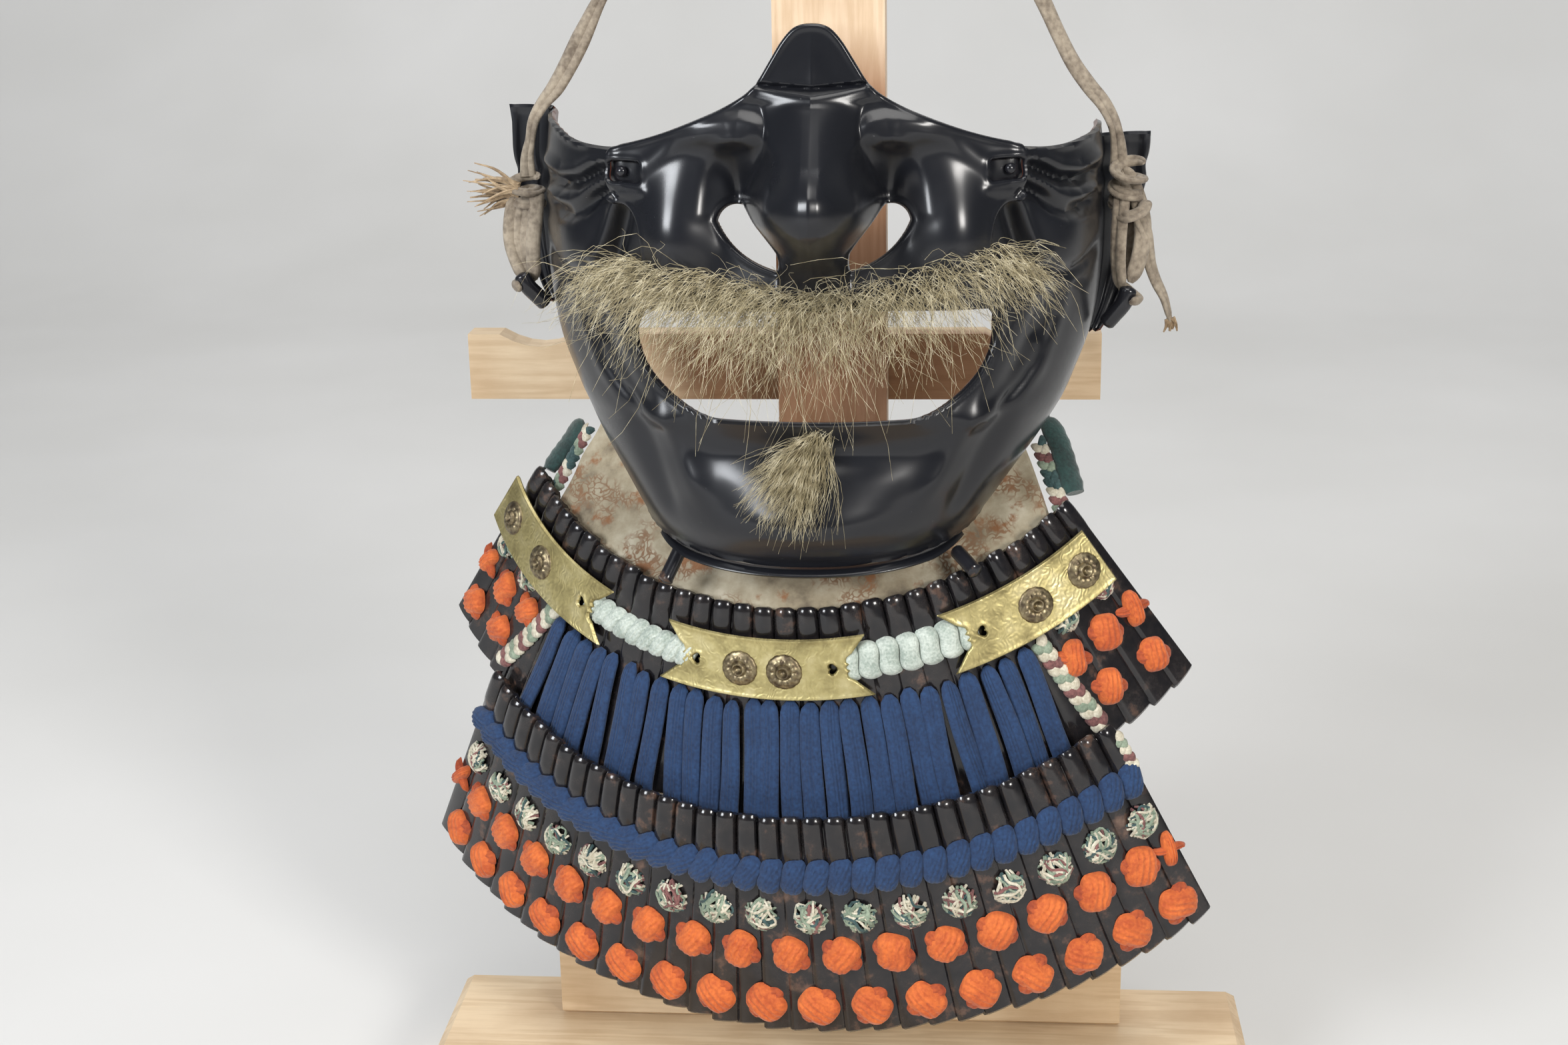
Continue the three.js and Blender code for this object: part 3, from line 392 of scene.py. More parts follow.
def pine(name, pale, deep, stretch, front):
    """Pine: pale with deeper year rings drawn out along stretch, and a warm brown painted shade behind the
    mask. front is where the face under that painted shade lies.
    """
    finish, shader, node, link = new_finish(name, pale, 0.55)
    shader.inputs["Coat Weight"].default_value = 0.12
    shader.inputs["Coat Roughness"].default_value = 0.4
    rings = place_noise(node, 9, 3, stretch)
    bands = node("Math", {0: rings, 1: 26.0}, operation="MULTIPLY").outputs[0]
    wave = node("Math", {0: bands}, operation="SINE").outputs[0]
    wave = node("MapRange", {"Value": wave, "From Min": -1.0, "From Max": 1.0}).outputs[0]
    fibre = place_noise(node, 60, 8, tuple(s * 3 for s in stretch), 0.7)
    mixed = node("Mix", {"Factor": 0.55, 2: wave, 3: fibre}, data_type="FLOAT").outputs[0]
    color = ramp(node, mixed, [(0.15, deep), (0.75, pale)])
    stain = place_noise(node, 26, 5)
    grime = ramp(node, stain, [(0.3, (0.80, 0.74, 0.68)), (0.55, (1, 1, 1))])
    tinted = mix(node, 1.0, color, grime, "MULTIPLY")
    # painted shade: the wood behind the open mask is darkened to a warm brown, standing in for the mask's
    # shadow and the light thrown back by its red inside
    here = node("TexCoord").outputs["Object"]
    off = node("VectorMath", {0: here, 1: (0, front, PAINTED_SHADE_HEIGHT)}, operation="SUBTRACT").outputs[0]
    off = node("VectorMath", {0: off, 1: PAINTED_SHADE_REACH}, operation="DIVIDE").outputs[0]
    off = node("VectorMath", {0: off}, operation="LENGTH").outputs["Value"]
    painted_shade = ramp(node, off, [(0.80, (0.50, 0.36, 0.29)), (1.0, (1, 1, 1))])
    link(mix(node, 1.0, tinted, painted_shade, "MULTIPLY"), shader.inputs["Base Color"])
    bump(node, link, shader, fibre, 0.25, 0.0002)
    return finish


upright_pine = pine("upright_pine", (0.78, 0.60, 0.42), (0.64, 0.46, 0.29), (22, 22, 1.6), 0.050)
level_pine = pine("level_pine", (0.72, 0.56, 0.37), (0.60, 0.44, 0.27), (1.6, 22, 22), 0.066)
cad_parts["post"].material_slots[0].material = upright_pine
for name in ("base_board", "foot_block", "crossbar"):
    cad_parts[name].material_slots[0].material = level_pine

# ---- mask bowl -----------------------------------------------------------------------------------
# The cheeks, lower lip and chin: one iron sheet, hammered to shape, with its edges rolled thin.
# It is lacquered black outside and red-brown inside.
MASK_WALL = 0.0016
MASK_YAW = 0.02
JAW_LEAN = 0.09
LEAN_BELOW = 0.215
FACE_SQUARENESS = 2.25
CHIN_EDGE = 0.1795
JAW_RISE = 0.008
# height, half width, front, rear
FACE = MM * np.array([
    (179, 39.0, -4.5, 32), (184, 42.8, -8.0, 33), (190, 46.9, -10.5, 35), (198, 52.2, -11.0, 37),
    (206, 57.6, -10.0, 39), (213, 61.7, -9.5, 41), (220, 65.3, -10.0, 44), (232, 70.0, -8.5, 47),
    (245, 72.4, -8.0, 50), (260, 72.8, -8.0, 50), (275, 72.4, -8.0, 50), (290, 70.6, -7.0, 50),
    (300, 69.0, -6.0, 50), (315, 66.0, -4.5, 50),
])
# height, rise, half width
NOSE = MM * np.array([
    (244, 0, 11), (250, 2, 9), (256, 7, 8.5), (260, 11.5, 9.5), (264, 17.5, 12.5), (268, 22.5, 16),
    (272, 24, 17), (276, 22.5, 15), (282, 16, 12), (288, 9.5, 11), (294, 3.5, 12), (298.3, 0, 14),
    (315, 0, 14),
])
# Soft swells and hollows: side, height, wide, tall, rise
SWELLS = MM * np.array([
    (0, 191, 20, 8, 4.0), (0, 209, 26, 4, -2.6), (0, 218, 34, 3.5, 2.2), (19, 272, 6.5, 9, -6.0),
    (33, 262, 8, 13, 5.5), (20, 288, 11, 3.5, 2.6), (0, 249, 30, 6, 2.5), (47, 277, 6, 6, 1.5),
    (59, 258, 7, 11, 2.5),
])
# Long folds: from side and height, to side and height, wide, rise
FOLDS = MM * np.array([
    (50, 244, 30, 203, 3.5, 1.6), (57, 243, 37, 197, 3.0, -1.2), (52, 277, 69, 272, 2.2, -1.4),
    (51, 272, 68, 265, 2.2, -1.4), (47, 266, 51, 255, 2.4, -1.4),
])
# Fine work of the hammer. Each line is its points (side, height), its width and its rise
FINE_LINES = [
    # the arch from the slot over the hollow beside the nose, and down the nose
    ([(40, 279), (36.3, 282), (31, 286.2), (27, 288.2), (23.5, 289.6), (19.9, 290.6), (17, 290.8),
      (14.4, 290), (12, 288.3), (10, 286), (9.3, 282.5), (9.1, 279), (9.2, 274.6), (9.5, 271)], 2.0, 0.55),
    # the rim of that hollow
    ([(11.6, 275), (11.8, 279.5), (13.2, 285), (15.5, 287), (18.3, 287.4), (21.4, 286), (24.3, 283),
      (26.2, 279.5), (27, 275), (26.9, 269)], 1.9, 0.35),
    # the crease under the top flap, and the bead below it
    ([(0, 297.6), (6, 298.2), (11, 298.7), (15.5, 299.2)], 1.0, -0.9),
    ([(0, 295.4), (8, 295.8), (14, 296.4)], 1.3, 0.5),
    # the frame of the slot
    ([(39.9, 273.6), (45.8, 273.2), (47.4, 275.4), (47.6, 283.6)], 1.2, 0.4),
    # folds that fan out from the slot to the ear
    ([(50, 280.6), (55, 279.4), (59.5, 276.6), (64.7, 275.3), (69.5, 277)], 1.6, 1.2),
    ([(51.5, 277.9), (54.8, 276.4), (59.5, 273.5), (64.7, 272.2), (69.5, 273.4)], 1.3, -1.5),
    ([(49.6, 277), (54.6, 273.8), (58, 270.4), (61.3, 268.7), (65, 268.6), (69, 270.2)], 1.5, 1.2),
    ([(50.4, 273.2), (54.4, 270.4), (57.4, 266.6), (60.7, 265.1), (64.8, 265.1), (68.4, 266.8)], 1.4, -1.5),
    ([(48.7, 270.6), (49.6, 267.5), (50.8, 263.5), (52.3, 259), (54.5, 255.4)], 1.4, 1.5),
    ([(46.4, 268), (47.4, 264), (48.8, 259.5), (50.8, 255)], 1.8, -1.0),
    ([(54.6, 254.4), (58, 251.8), (62, 250.8), (66, 251.8), (70, 254.4)], 1.6, -1.0),
    # soft bands beside the mouth
    ([(61.6, 248), (58.5, 237.5), (54.4, 227), (49.3, 220.7), (41, 216.5)], 2.0, 0.7),
    ([(58, 240), (55, 231), (51, 225), (45, 219.8)], 1.5, -0.6),
    ([(53.5, 234), (52.2, 230.2), (48, 223.8), (41.2, 218.8), (37.5, 216.4)], 1.9, 0.8),
]
KEEL = 0.0004
HOLLOW = MM * np.array((19.0, 279.5, 6.0, 7.0, -1.6))
# The top edge from the left ear over the nose to the right: side, height
TOP_EDGE = MM * np.array([
    (-76, 290), (-70, 288.2), (-66, 286.7), (-62, 285.1), (-56, 284.2), (-48, 284.4), (-38, 286.8),
    (-28, 290.4), (-19, 294.6), (-13.5, 298.6), (-10, 304), (-7, 308.8), (-4, 311.9), (0, 312.8),
    (4, 311.9), (7, 308.8), (10, 304), (13.5, 298.6), (19, 294.6), (28, 290.4), (38, 286.6),
    (48, 283.9), (58, 282.7), (66, 283.7), (70, 284.8), (76, 286.5),
])


def read_table(table, at):
    """The columns of a table at places between its rows, on a smooth curve."""
    key = table[:, 0]
    at = np.clip(at, key[0], key[-1])
    last = len(key) - 1
    i = np.clip(np.searchsorted(key, at, side="right") - 1, 0, last - 1)
    before = np.clip(np.arange(last + 1) - 1, 0, None)
    after = np.clip(np.arange(last + 1) + 1, None, last)
    slopes = (table[after, 1:] - table[before, 1:]) / (key[after] - key[before])[:, None]
    span = (key[i + 1] - key[i])[..., None]
    s = (at - key[i])[..., None] / span
    return (
        (2 * s**3 - 3 * s**2 + 1) * table[i, 1:] + (s**3 - 2 * s**2 + s) * span * slopes[i]
        + (3 * s**2 - 2 * s**3) * table[i + 1, 1:] + (s**3 - s**2) * span * slopes[i + 1]
    )


def bell(value, width):
    return np.exp(-((value / width) ** 2))


def along_fold(side, height, from_side, from_height, to_side, to_height):
    """How far along a straight run a place is, past its ends and off it to one side."""
    run_side, run_height = to_side - from_side, to_height - from_height
    length = math.hypot(run_side, run_height)
    along = ((side - from_side) * run_side + (height - from_height) * run_height) / length
    off = ((side - from_side) * run_height - (height - from_height) * run_side) / length
    return np.maximum(0, np.maximum(-along, along - length)), off


def relief(side, height):
    """How far the worked iron stands out of the plain bowl."""
    nose = read_table(NOSE, height)
    across = np.clip(side / nose[..., 1], 0, 1)
    rise = nose[..., 0] * (1 - across**1.7) ** 1.25
    for middle, level, wide, tall, swell in SWELLS:
        rise = rise + swell * bell(side - middle, wide) * bell(height - level, tall)
    for *run, wide, lift in FOLDS:
        past, off = along_fold(side, height, *run)
        rise = rise + lift * bell(off, wide) * bell(past, 2 * wide)
    return rise + fine_relief(side, height)


def fine_relief(side, height):
    """The sharp keel of the nose, the hollows beside it, and the fine lines."""
    side, height = np.asarray(side), np.asarray(height)
    rise = KEEL * np.exp(-side / 0.002) * bell(height - 0.289, 0.025)
    middle, level, wide, tall, sink = HOLLOW
    rise = np.array(rise + sink * bell(side - middle, wide) * bell(height - level, tall))
    for line, wide, lift in FINE_LINES:
        line = MM * np.array(line)
        low, high = line.min(0) - 3 * MM * wide, line.max(0) + 3 * MM * wide
        close = (side > low[0]) & (side < high[0]) & (height > low[1]) & (height < high[1])
        if not close.any():
            continue
        near = np.full(int(close.sum()), 1.0)
        for start, end in zip(line[:-1], line[1:]):
            past, off = along_fold(side[close], height[close], *start, *end)
            near = np.minimum(near, np.hypot(past, off))
        rise[close] += MM * lift * bell(near, MM * wide)
    return rise


def face_middle(height):
    """The bowl leans a little to the left below the lip."""
    return -JAW_LEAN * np.maximum(0, LEAN_BELOW - height)


def face_point(turned, height, worked=1.0):
    """A point of the bowl'sideways outside. turned is -1 at the left rear edge, 0 in front, 1 right."""
    face = read_table(FACE, height)
    half, front, rear = face[..., 0], face[..., 1], face[..., 2]
    angle = turned * np.pi / 2
    sideways = np.abs(np.sin(angle)) ** (2 / FACE_SQUARENESS)
    forwards = np.abs(np.cos(angle)) ** (2 / FACE_SQUARENESS)
    out_x = sideways ** (FACE_SQUARENESS - 1) / half
    out_y = forwards ** (FACE_SQUARENESS - 1) / (rear - front)
    size = np.hypot(out_x, out_y)
    rise = worked * relief(half * sideways, height)
    depth = rear - (rear - front) * forwards - rise * out_y / size
    return np.stack([
        face_middle(height) + np.sign(turned) * (half * sideways + rise * out_x / size) - MASK_YAW * depth,
        depth,
        height,
    ], -1)


def face_out(turned, height, worked=1.0):
    """The way out of the bowl's wall; with worked 0, of the plain bowl under the relief."""
    right = face_point(np.minimum(turned + 0.01, 1), height, worked)
    left = face_point(np.maximum(turned - 0.01, -1), height, worked)
    up = face_point(turned, height + 0.0004, worked) - face_point(turned, height - 0.0004, worked)
    return unit(np.cross(right - left, up))


def even_step(normals, ways, most):
    """A step along each plain way that is as thick as one along the surface's own normal."""
    return ways * np.clip(1 / np.maximum((normals * ways).sum(-1), 0.01), 1, most)[..., None]


def face_place(turned, height, lift):
    """A point that stands a little off the bowl's outside."""
    step = even_step(face_out(turned, height), face_out(turned, height, 0.0), 1.7)
    return face_point(turned, height) + np.asarray(lift)[..., None] * step


def turned_at(side, height):
    """The turned value where the bowl's outside is that far from its middle."""
    half = read_table(FACE, height)[..., 0]
    s = np.clip(np.abs(side) / half, 0, 1) ** (FACE_SQUARENESS / 2)
    return np.sign(side) * np.arcsin(s) * 2 / np.pi


def face_top(side):
    return read_table(TOP_EDGE, side)[..., 0]


def bezier(points, count=14):
    """Points on a curve from the first to the last, drawn towards those between."""
    t = np.linspace(0, 1, count)[:, None]
    curve = np.asarray(points, float)[:, None]
    while len(curve) > 1:
        curve = (1 - t) * curve[:-1] + t * curve[1:]
    return curve[0]


def nearest_on(outline, places):
    """For each place: signed distance to a closed outline (below zero inside) and the nearest point."""
    best = np.full(len(places), np.inf)
    nearest = np.zeros((len(places), 2))
    inside = np.zeros(len(places), bool)
    for start, end in zip(outline, np.roll(outline, -1, axis=0)):
        run = end - start
        share = np.clip((places - start) @ run / max(run @ run, 1e-18), 0, 1)
        foot = start + share[:, None] * run
        away = np.linalg.norm(places - foot, axis=1)
        closer = away < best
        best[closer] = away[closer]
        nearest[closer] = foot[closer]
        crosses = (start[1] > places[:, 1]) != (end[1] > places[:, 1])
        if abs(run[1]) > 1e-15:
            at = start[0] + (places[:, 1] - start[1]) / run[1] * run[0]
            inside ^= crosses & (places[:, 0] < at)
    return np.where(inside, -best, best), nearest


FAR_AWAY = 1e9
HOLE_MARGIN = 0.006
EDGE_REACH = 0.004


def cut_sheet(flat, place, wall, keep=None, holes=(), rim=0.0, rim_wide=0.0008, back=1, ways=None):
    """A wall cut from a flat grid: flat is (rows, columns, 2), place lays it out in the part.
    keep is the outline it is trimmed to and holes are cut through it. Its edges are rounded, and
    rim raises a bead along them. ways gives the plain direction that the wall is thickened in.
    Returns points, faces, paints (0 outside, back inside)."""
    rows, columns = flat.shape[:2]
    places = flat.reshape(-1, 2).copy()
    gone = np.zeros(len(places), bool)
    edge = np.zeros(len(places), bool)
    targets = np.full(len(places), FAR_AWAY)
    feet = places.copy()
    cells = quads(np.arange(rows * columns).reshape(rows, columns))
    outlines = [(o, -1) for o in ([keep] if keep is not None else [])] + [(o, 1) for o in holes]
    for outline, sign in outlines:
        low, high = outline.min(0) - HOLE_MARGIN, outline.max(0) + HOLE_MARGIN
        near = np.all((places > low) & (places < high), axis=1) if sign > 0 else np.ones(len(places), bool)
        distance = np.full(len(places), FAR_AWAY)
        foot = places.copy()
        distance[near], foot[near] = nearest_on(outline, places[near])
        outside = sign * distance > 0
        mixed = outside[cells].any(axis=1) & ~outside[cells].all(axis=1)
        pulled = np.zeros(len(places), bool)
        pulled[cells[mixed].ravel()] = True
        pulled &= ~outside
        gone |= ~outside & ~pulled
        places[pulled] = foot[pulled]
        edge |= pulled
        distance = np.where(pulled, 0, np.abs(distance))
        closer = distance < targets
        targets[closer] = distance[closer]
        feet[closer] = foot[closer]
    kept = ~((gone | edge)[cells].all(axis=1) | gone[cells].any(axis=1))
    points = place(places.reshape(rows, columns, 2))
    normals = unit(np.cross(np.gradient(points, axis=0), np.gradient(points, axis=1)))
    if ways is not None:
        normals = even_step(normals, ways(places.reshape(rows, columns, 2)), 2.2)
    normals = normals.reshape(-1, 3)
    points = points.reshape(-1, 3)
    distance = np.full(len(points), FAR_AWAY)
    close = targets < EDGE_REACH
    if close.any():
        foot_points = place(feet[close][None])[0]
        distance[close] = np.linalg.norm(points[close] - foot_points, axis=1)
    distance[edge] = 0
    if keep is None:
        shaped = points.reshape(rows, columns, 3)
        across = np.linalg.norm(np.diff(shaped, axis=1), axis=2)
        down = np.linalg.norm(np.diff(shaped, axis=0), axis=2)
        left = np.concatenate([np.zeros((rows, 1)), np.cumsum(across, 1)], 1)
        top = np.concatenate([np.zeros((1, columns)), np.cumsum(down, 0)], 0)
        to_edge = np.minimum.reduce([left, left[:, -1:] - left, top, top[-1:] - top]).ravel()
        distance = np.minimum(distance, to_edge)
    half = wall / 2
    depth = half * (1 - np.sqrt(1 - np.clip(1 - distance / half, 0, 1) ** 2))
    lift = rim * np.clip(bell(distance - rim_wide, rim_wide), 0, 1)
    outer = points + (lift - depth)[:, None] * normals
    inner = points - (wall - depth)[:, None] * normals
    kept_cells = cells[kept]
    count = len(points)
    shared = distance <= 1e-9
    inside_index = np.where(shared, np.arange(count), np.arange(count) + count)
    faces = np.concatenate([kept_cells, inside_index[kept_cells][:, ::-1]])
    used, packed = np.unique(faces, return_inverse=True)
    paints = np.concatenate([np.zeros(len(kept_cells), int), np.full(len(kept_cells), back)])
    return np.concatenate([outer, inner])[used], packed.reshape(faces.shape), paints


def flat_grid(across, down):
    """The places of a flat grid: columns across, rows from the top down."""
    return np.stack(np.meshgrid(across, down), -1)


def lacquer_coat(name, base, worn, wear_from, shine=0.21, dust=0.12):
    """Lacquer: dark and glossy, greyer where dusty, brown where the coat has worn thin."""
    finish, shader, node, link = new_finish(name, base, 0.3)
    shader.inputs["Coat Weight"].default_value = 0.7
    shader.inputs["Coat Roughness"].default_value = shine
    shader.inputs["Specular IOR Level"].default_value = 0.12
    patches = place_noise(node, 60, 6, roughness=0.6)
    specks = place_noise(node, 900, 2)
    dusty = ramp(node, place_noise(node, 22, 5), [(0.35, 0), (0.75, dust)])
    grey = mix(node, dusty, (*base, 1), (0.045, 0.048, 0.058, 1))
    worn_here = ramp(node, patches, [(wear_from, 0), (wear_from + 0.05, 1)])
    with_wear = mix(node, worn_here, grey, (*worn, 1))
    speck_here = ramp(node, specks, [(0.76, 0), (0.82, 0.3)])
    link(mix(node, speck_here, with_wear, (0.16, 0.16, 0.165, 1)), shader.inputs["Base Color"])
    ripple = place_noise(node, 75, 3)
    link(ramp(node, patches, [(0.3, 0.26), (0.8, 0.5)]), shader.inputs["Roughness"])
    bump(node, link, shader, ripple, 0.25, 0.0006)
    return finish


lacquer = lacquer_coat("black_lacquer", (0.006, 0.0065, 0.009), (0.07, 0.04, 0.03), 0.80)
red_inside = lacquer_coat("red_brown_lacquer", (0.10, 0.030, 0.016), (0.04, 0.015, 0.01), 0.62, 0.3)

MOUTH = {"middle": -0.0006, "half": 0.0435, "bottom": 0.2186, "corner": 0.240, "flat": 0.022}
ROUND_TO_FLAT = 0.115


def mouth_edge():
    middle, half, low, corner, flat = MOUTH.values()
    left = bezier([(-half, corner), (-half, corner - 0.012), (-flat - 0.009, low), (-flat, low)], 24)
    return np.concatenate([left, left[::-1] * (-1, 1)]) + (middle, 0)


def bowl_gap():
    """The outline of all that is open in the bowl: the mouth, and the place of the nose plate."""
    lip = mouth_edge()
    right = np.array([
        (0.0429, 0.243), (0.0392, 0.247), (0.0375, 0.254), (0.0388, 0.262), (0.040, 0.268), (0.040, 0.276),
        (0.040, 0.33),
    ])
    left = right[::-1] * (-1, 1)
    outline = np.concatenate([lip, right, left])
    height = outline[:, 1]
    return np.stack([turned_at(outline[:, 0] - face_middle(height), height) * ROUND_TO_FLAT, height], 1)


def bowl_turned(flat):
    return np.clip(flat[..., 0] / ROUND_TO_FLAT, -1, 1)


def bowl_place(flat):
    return face_place(bowl_turned(flat), flat[..., 1], 0.0)


def bowl_ways(flat):
    return face_out(bowl_turned(flat), flat[..., 1], 0.0)


def jaw_edge(turned):
    return CHIN_EDGE + JAW_RISE * turned**2


def bowl_outline():
    turned = np.concatenate([np.linspace(-1, 1, 80), np.linspace(1, -1, 120)])
    lower = jaw_edge(turned[:80])
    at_top = face_point(turned[80:], np.full(120, 0.286))[:, 0]
    return np.stack([turned * ROUND_TO_FLAT, np.concatenate([lower, face_top(at_top) - 0.0008])], 1)


# the sheet's blank is a little longer than the bowl at its foot and at its top
BLANK = {"foot": 0.1785, "top": 0.2925}
INSIDE_BLANK = (0.99999, 1)
flat = flat_grid(
    np.linspace(-ROUND_TO_FLAT, ROUND_TO_FLAT, 330), np.linspace(BLANK["foot"], BLANK["top"], 152)[::-1],
)
bowl = cut_sheet(
    flat, bowl_place, MASK_WALL, bowl_outline() * INSIDE_BLANK, [bowl_gap()], rim=0.0004, ways=bowl_ways,
)
put("mask_bowl_iron", bowl, [lacquer, red_inside], ["mask_bowl"])

# ---- nose plate ----------------------------------------------------------------------------------
# The nose and upper lip: a second iron sheet that hooks over the cheeks. The slot in each of its
# tabs drops over a stud. The nostrils are open.
PLATE_LIFT = MASK_WALL + 0.0005
PLATE_EDGE = {
    "tab": 0.049, "tab_bottom": 0.270, "waist": 0.0405, "waist_height": 0.258, "lip": 0.044,
    "lip_height": 0.2445,
}
SLOT = {"side": 0.0443, "height": 0.278, "wide": 0.0076, "tall": 0.0048}
NOSTRIL = {
    "inner_side": 0.0086, "inner_height": 0.257, "outer_side": 0.0205, "outer_height": 0.268, "wide": 0.0052,
}


def plate_outline():
    tab, low, waist, waist_height, lip, lip_height = PLATE_EDGE.values()
    sides = np.linspace(0, tab, 60)
    top = np.stack([sides, face_top(sides)], 1)
    corner = float(face_top(np.array(tab)))
    right = np.concatenate([
        bezier([(0, lip_height + 0.00125), (lip / 2, lip_height + 0.00125), (lip, lip_height)], 16)[:-1],
        bezier([(lip, lip_height), (waist - 0.001, waist_height - 0.006), (waist, waist_height)], 10)[:-1],
        bezier([(waist, waist_height), (waist, low), (tab - 0.002, low)], 14)[:-1],
        bezier([(tab - 0.002, low), (tab, low), (tab, low + 0.002)], 8),
        bezier([(tab, corner - 0.002), (tab, corner), (tab - 0.002, corner + 0.0001)], 8),
        top[top[:, 0] < tab - 0.0025][::-1],
    ])
    return np.concatenate([right, (right * (-1, 1))[::-1][1:-1]])


def slot_outline(sign):
    x, z, a, b, r = sign * SLOT["side"], SLOT["height"], SLOT["wide"] / 2, SLOT["tall"] / 2, 0.001
    angles = np.radians(np.linspace(0, 90, 6) + np.arange(0, 360, 90)[:, None])
    right = np.repeat([[1], [-1], [-1], [1]], 6, axis=1)
    up = np.repeat([[1], [1], [-1], [-1]], 6, axis=1)
    across = x + right * (a - r) + r * np.cos(angles)
    return np.stack([across, z + up * (b - r) + r * np.sin(angles)], -1).reshape(-1, 2)


def nostril_outline(sign):
    i, low, o, high, wide = NOSTRIL.values()
    shape = np.concatenate([
        bezier([(i, low - 0.0015), (o - 0.001, low + 0.0015), (o + 0.0025, high - 0.001)])[:-1],
        bezier([(o + 0.0025, high - 0.001), (o + 0.002, high + wide / 1.6), (o - 0.003, high + 0.0022)])[:-1],
        bezier([(o - 0.003, high + 0.0022), (i + 0.005, high), (i, low + 0.003)]),
        bezier([(i, low + 0.003), (i - 0.0006, low + 0.0008), (i, low - 0.0015)], 6)[1:-1],
    ])
    return shape * (sign, 1)


def plate_place(flat):
    side, height = flat[..., 0], flat[..., 1]
    return face_place(turned_at(side, height), height, PLATE_LIFT)


def plate_ways(flat):
    return face_out(turned_at(flat[..., 0], flat[..., 1]), flat[..., 1], 0.0)


# the columns stand closer over the nose than out on the tabs
across = [np.linspace(-49.5, -20, 74), np.linspace(-19.8, 19.8, 160), np.linspace(20, 49.5, 74)]
flat = flat_grid(MM * np.concatenate(across), np.linspace(0.3133, 0.2440, 184))
holes = [slot_outline(-1), slot_outline(1), nostril_outline(-1), nostril_outline(1)]
plate = cut_sheet(flat, plate_place, MASK_WALL, plate_outline(), holes, rim=0.00025, ways=plate_ways)
put("nose_plate_iron", plate, [lacquer, red_inside], ["nose_plate"])

# ---- studs, pegs and cord hooks ------------------------------------------------------------------
# Small lacquered iron fittings riveted to the bowl: the domed studs in the slots, two pegs under
# the jaw for the helmet cord, and a bent hook on each cheek that the hanging cord is tied under.
STUD = {"side": 0.0456, "radius": 0.00126, "high": 0.0019}
small_lacquer = lacquer_coat("worn_lacquer", (0.010, 0.010, 0.013), (0.13, 0.075, 0.05), 0.60, 0.12, 0.2)
round_profile = np.stack([np.cos(turn), np.sin(turn)], 1)


# a low dome on a short neck: share of its height, share of its width
STUD_SHAPE = np.array([
    (0, 0.9), (0.35, 0.9), (0.4, 1.1), (0.6, 1.06), (0.78, 0.86), (0.92, 0.5), (0.995, 0.12),
])
for sign, name in ((-1, "left"), (1, "right")):
    height = np.array(SLOT["height"])
    at = turned_at(np.array(sign * STUD["side"]), height)
    foot = face_place(at, height, 0.0003)
    out = unit(face_place(at, height, 0.003) - foot)
    path = foot + STUD_SHAPE[:, :1] * out * STUD["high"]
    dome = sweep(path, STUD["radius"] * round_profile, sizes=STUD_SHAPE[:, 1], ups=(0.1, 0.2, 1.0))
    put(f"stud_{name}_dome", dome, [small_lacquer], [f"stud_{name}"])


def bar(points, radius, flatten=1.0, bead=0.0):
    """A round-ended iron bar along a route, sizes in metres."""
    steps = np.linspace(0, 1, 24)
    from_end = np.clip(10 * np.minimum(steps, 1 - steps), 0, 1)
    sizes = np.clip(np.sqrt(1 - (1 - from_end) ** 2), 0.15, 1) * (1 + bead * bell(steps - 0.93, 0.06))
    return sweep(smooth_route(points, 24), radius * round_profile * (1, flatten), sizes=sizes)


PEGS = {
    "left": MM * np.array([(-36.9, 12, 179), (-39, 10, 174.8), (-41.1, 8, 170.7)]),
    "right": MM * np.array([(34, 11, 179.4), (36.8, 7, 177.5), (39.6, 3, 175.6)]),
}
LUGS = {
    "left": MM * np.array([(-73.3, 36, 238.2), (-75.6, 35, 240.8), (-78.2, 34, 244), (-79.6, 34, 247.2)]),
    "right": MM * np.array([(72.2, 36, 232.6), (74.4, 35, 235.4), (77, 34, 239), (78.2, 34, 243.2)]),
}
for name in ("left", "right"):
    put(f"peg_{name}_bar", bar(PEGS[name], 0.0019, bead=0.12), [small_lacquer], [f"peg_{name}"])
    put(f"lug_{name}_bar", bar(LUGS[name], 0.0022, flatten=0.85), [small_lacquer], [f"lug_{name}"])

# ---- ear flanges and chin rim --------------------------------------------------------------------
# The rear edge of each cheek is flared out into a stiff flange, and a thin rim is turned out under
# the chin. Both are of one piece with the bowl's iron, drawn down thin.
EARS = {
    "left": {"sign": -1, "low": 0.236, "high": 0.2885, "out": 0.0125, "foot": 0.0035},
    "right": {"sign": 1, "low": 0.228, "high": 0.280, "out": 0.0135, "foot": 0.0035},
}
EAR_DEPTH = 0.005
SEAM_GAP = 0.0003
CHEEK_TOP = 0.284
for name, ear in EARS.items():
    def ear_place(flat):
        across, down = flat[..., 0], -flat[..., 1]
        height = ear["high"] - (ear["high"] - ear["low"]) * down
        edge = face_point(np.full(height.shape, float(ear["sign"])), np.minimum(height, CHEEK_TOP))
        spread = ear["foot"] + (ear["out"] - ear["foot"]) * (1 - down) ** 0.6
        angle = across * np.pi / 2
        ridge = 0.0006 * bell(across - 0.62, 0.06) + 0.0005 * bell(across - 0.93, 0.05)
        return np.stack([
            edge[..., 0] + ear["sign"] * (spread - spread * np.cos(angle)),
            edge[..., 1] + SEAM_GAP + EAR_DEPTH * np.sin(angle) - ridge,
            height,
        ], -1)
    ticks = np.linspace(0, 1, 40) if ear["sign"] > 0 else np.linspace(1, 0, 40)
    flange = cut_sheet(flat_grid(ticks, -np.linspace(0, 1, 70)), ear_place, MASK_WALL * 0.8, rim=0.0003)
    put(f"ear_flange_{name}_iron", flange, [lacquer, red_inside], [f"ear_flange_{name}"])


CHIN_RIM = {"reach": 0.74, "out": 0.0026, "thick": 0.0012, "aim": 0.024}


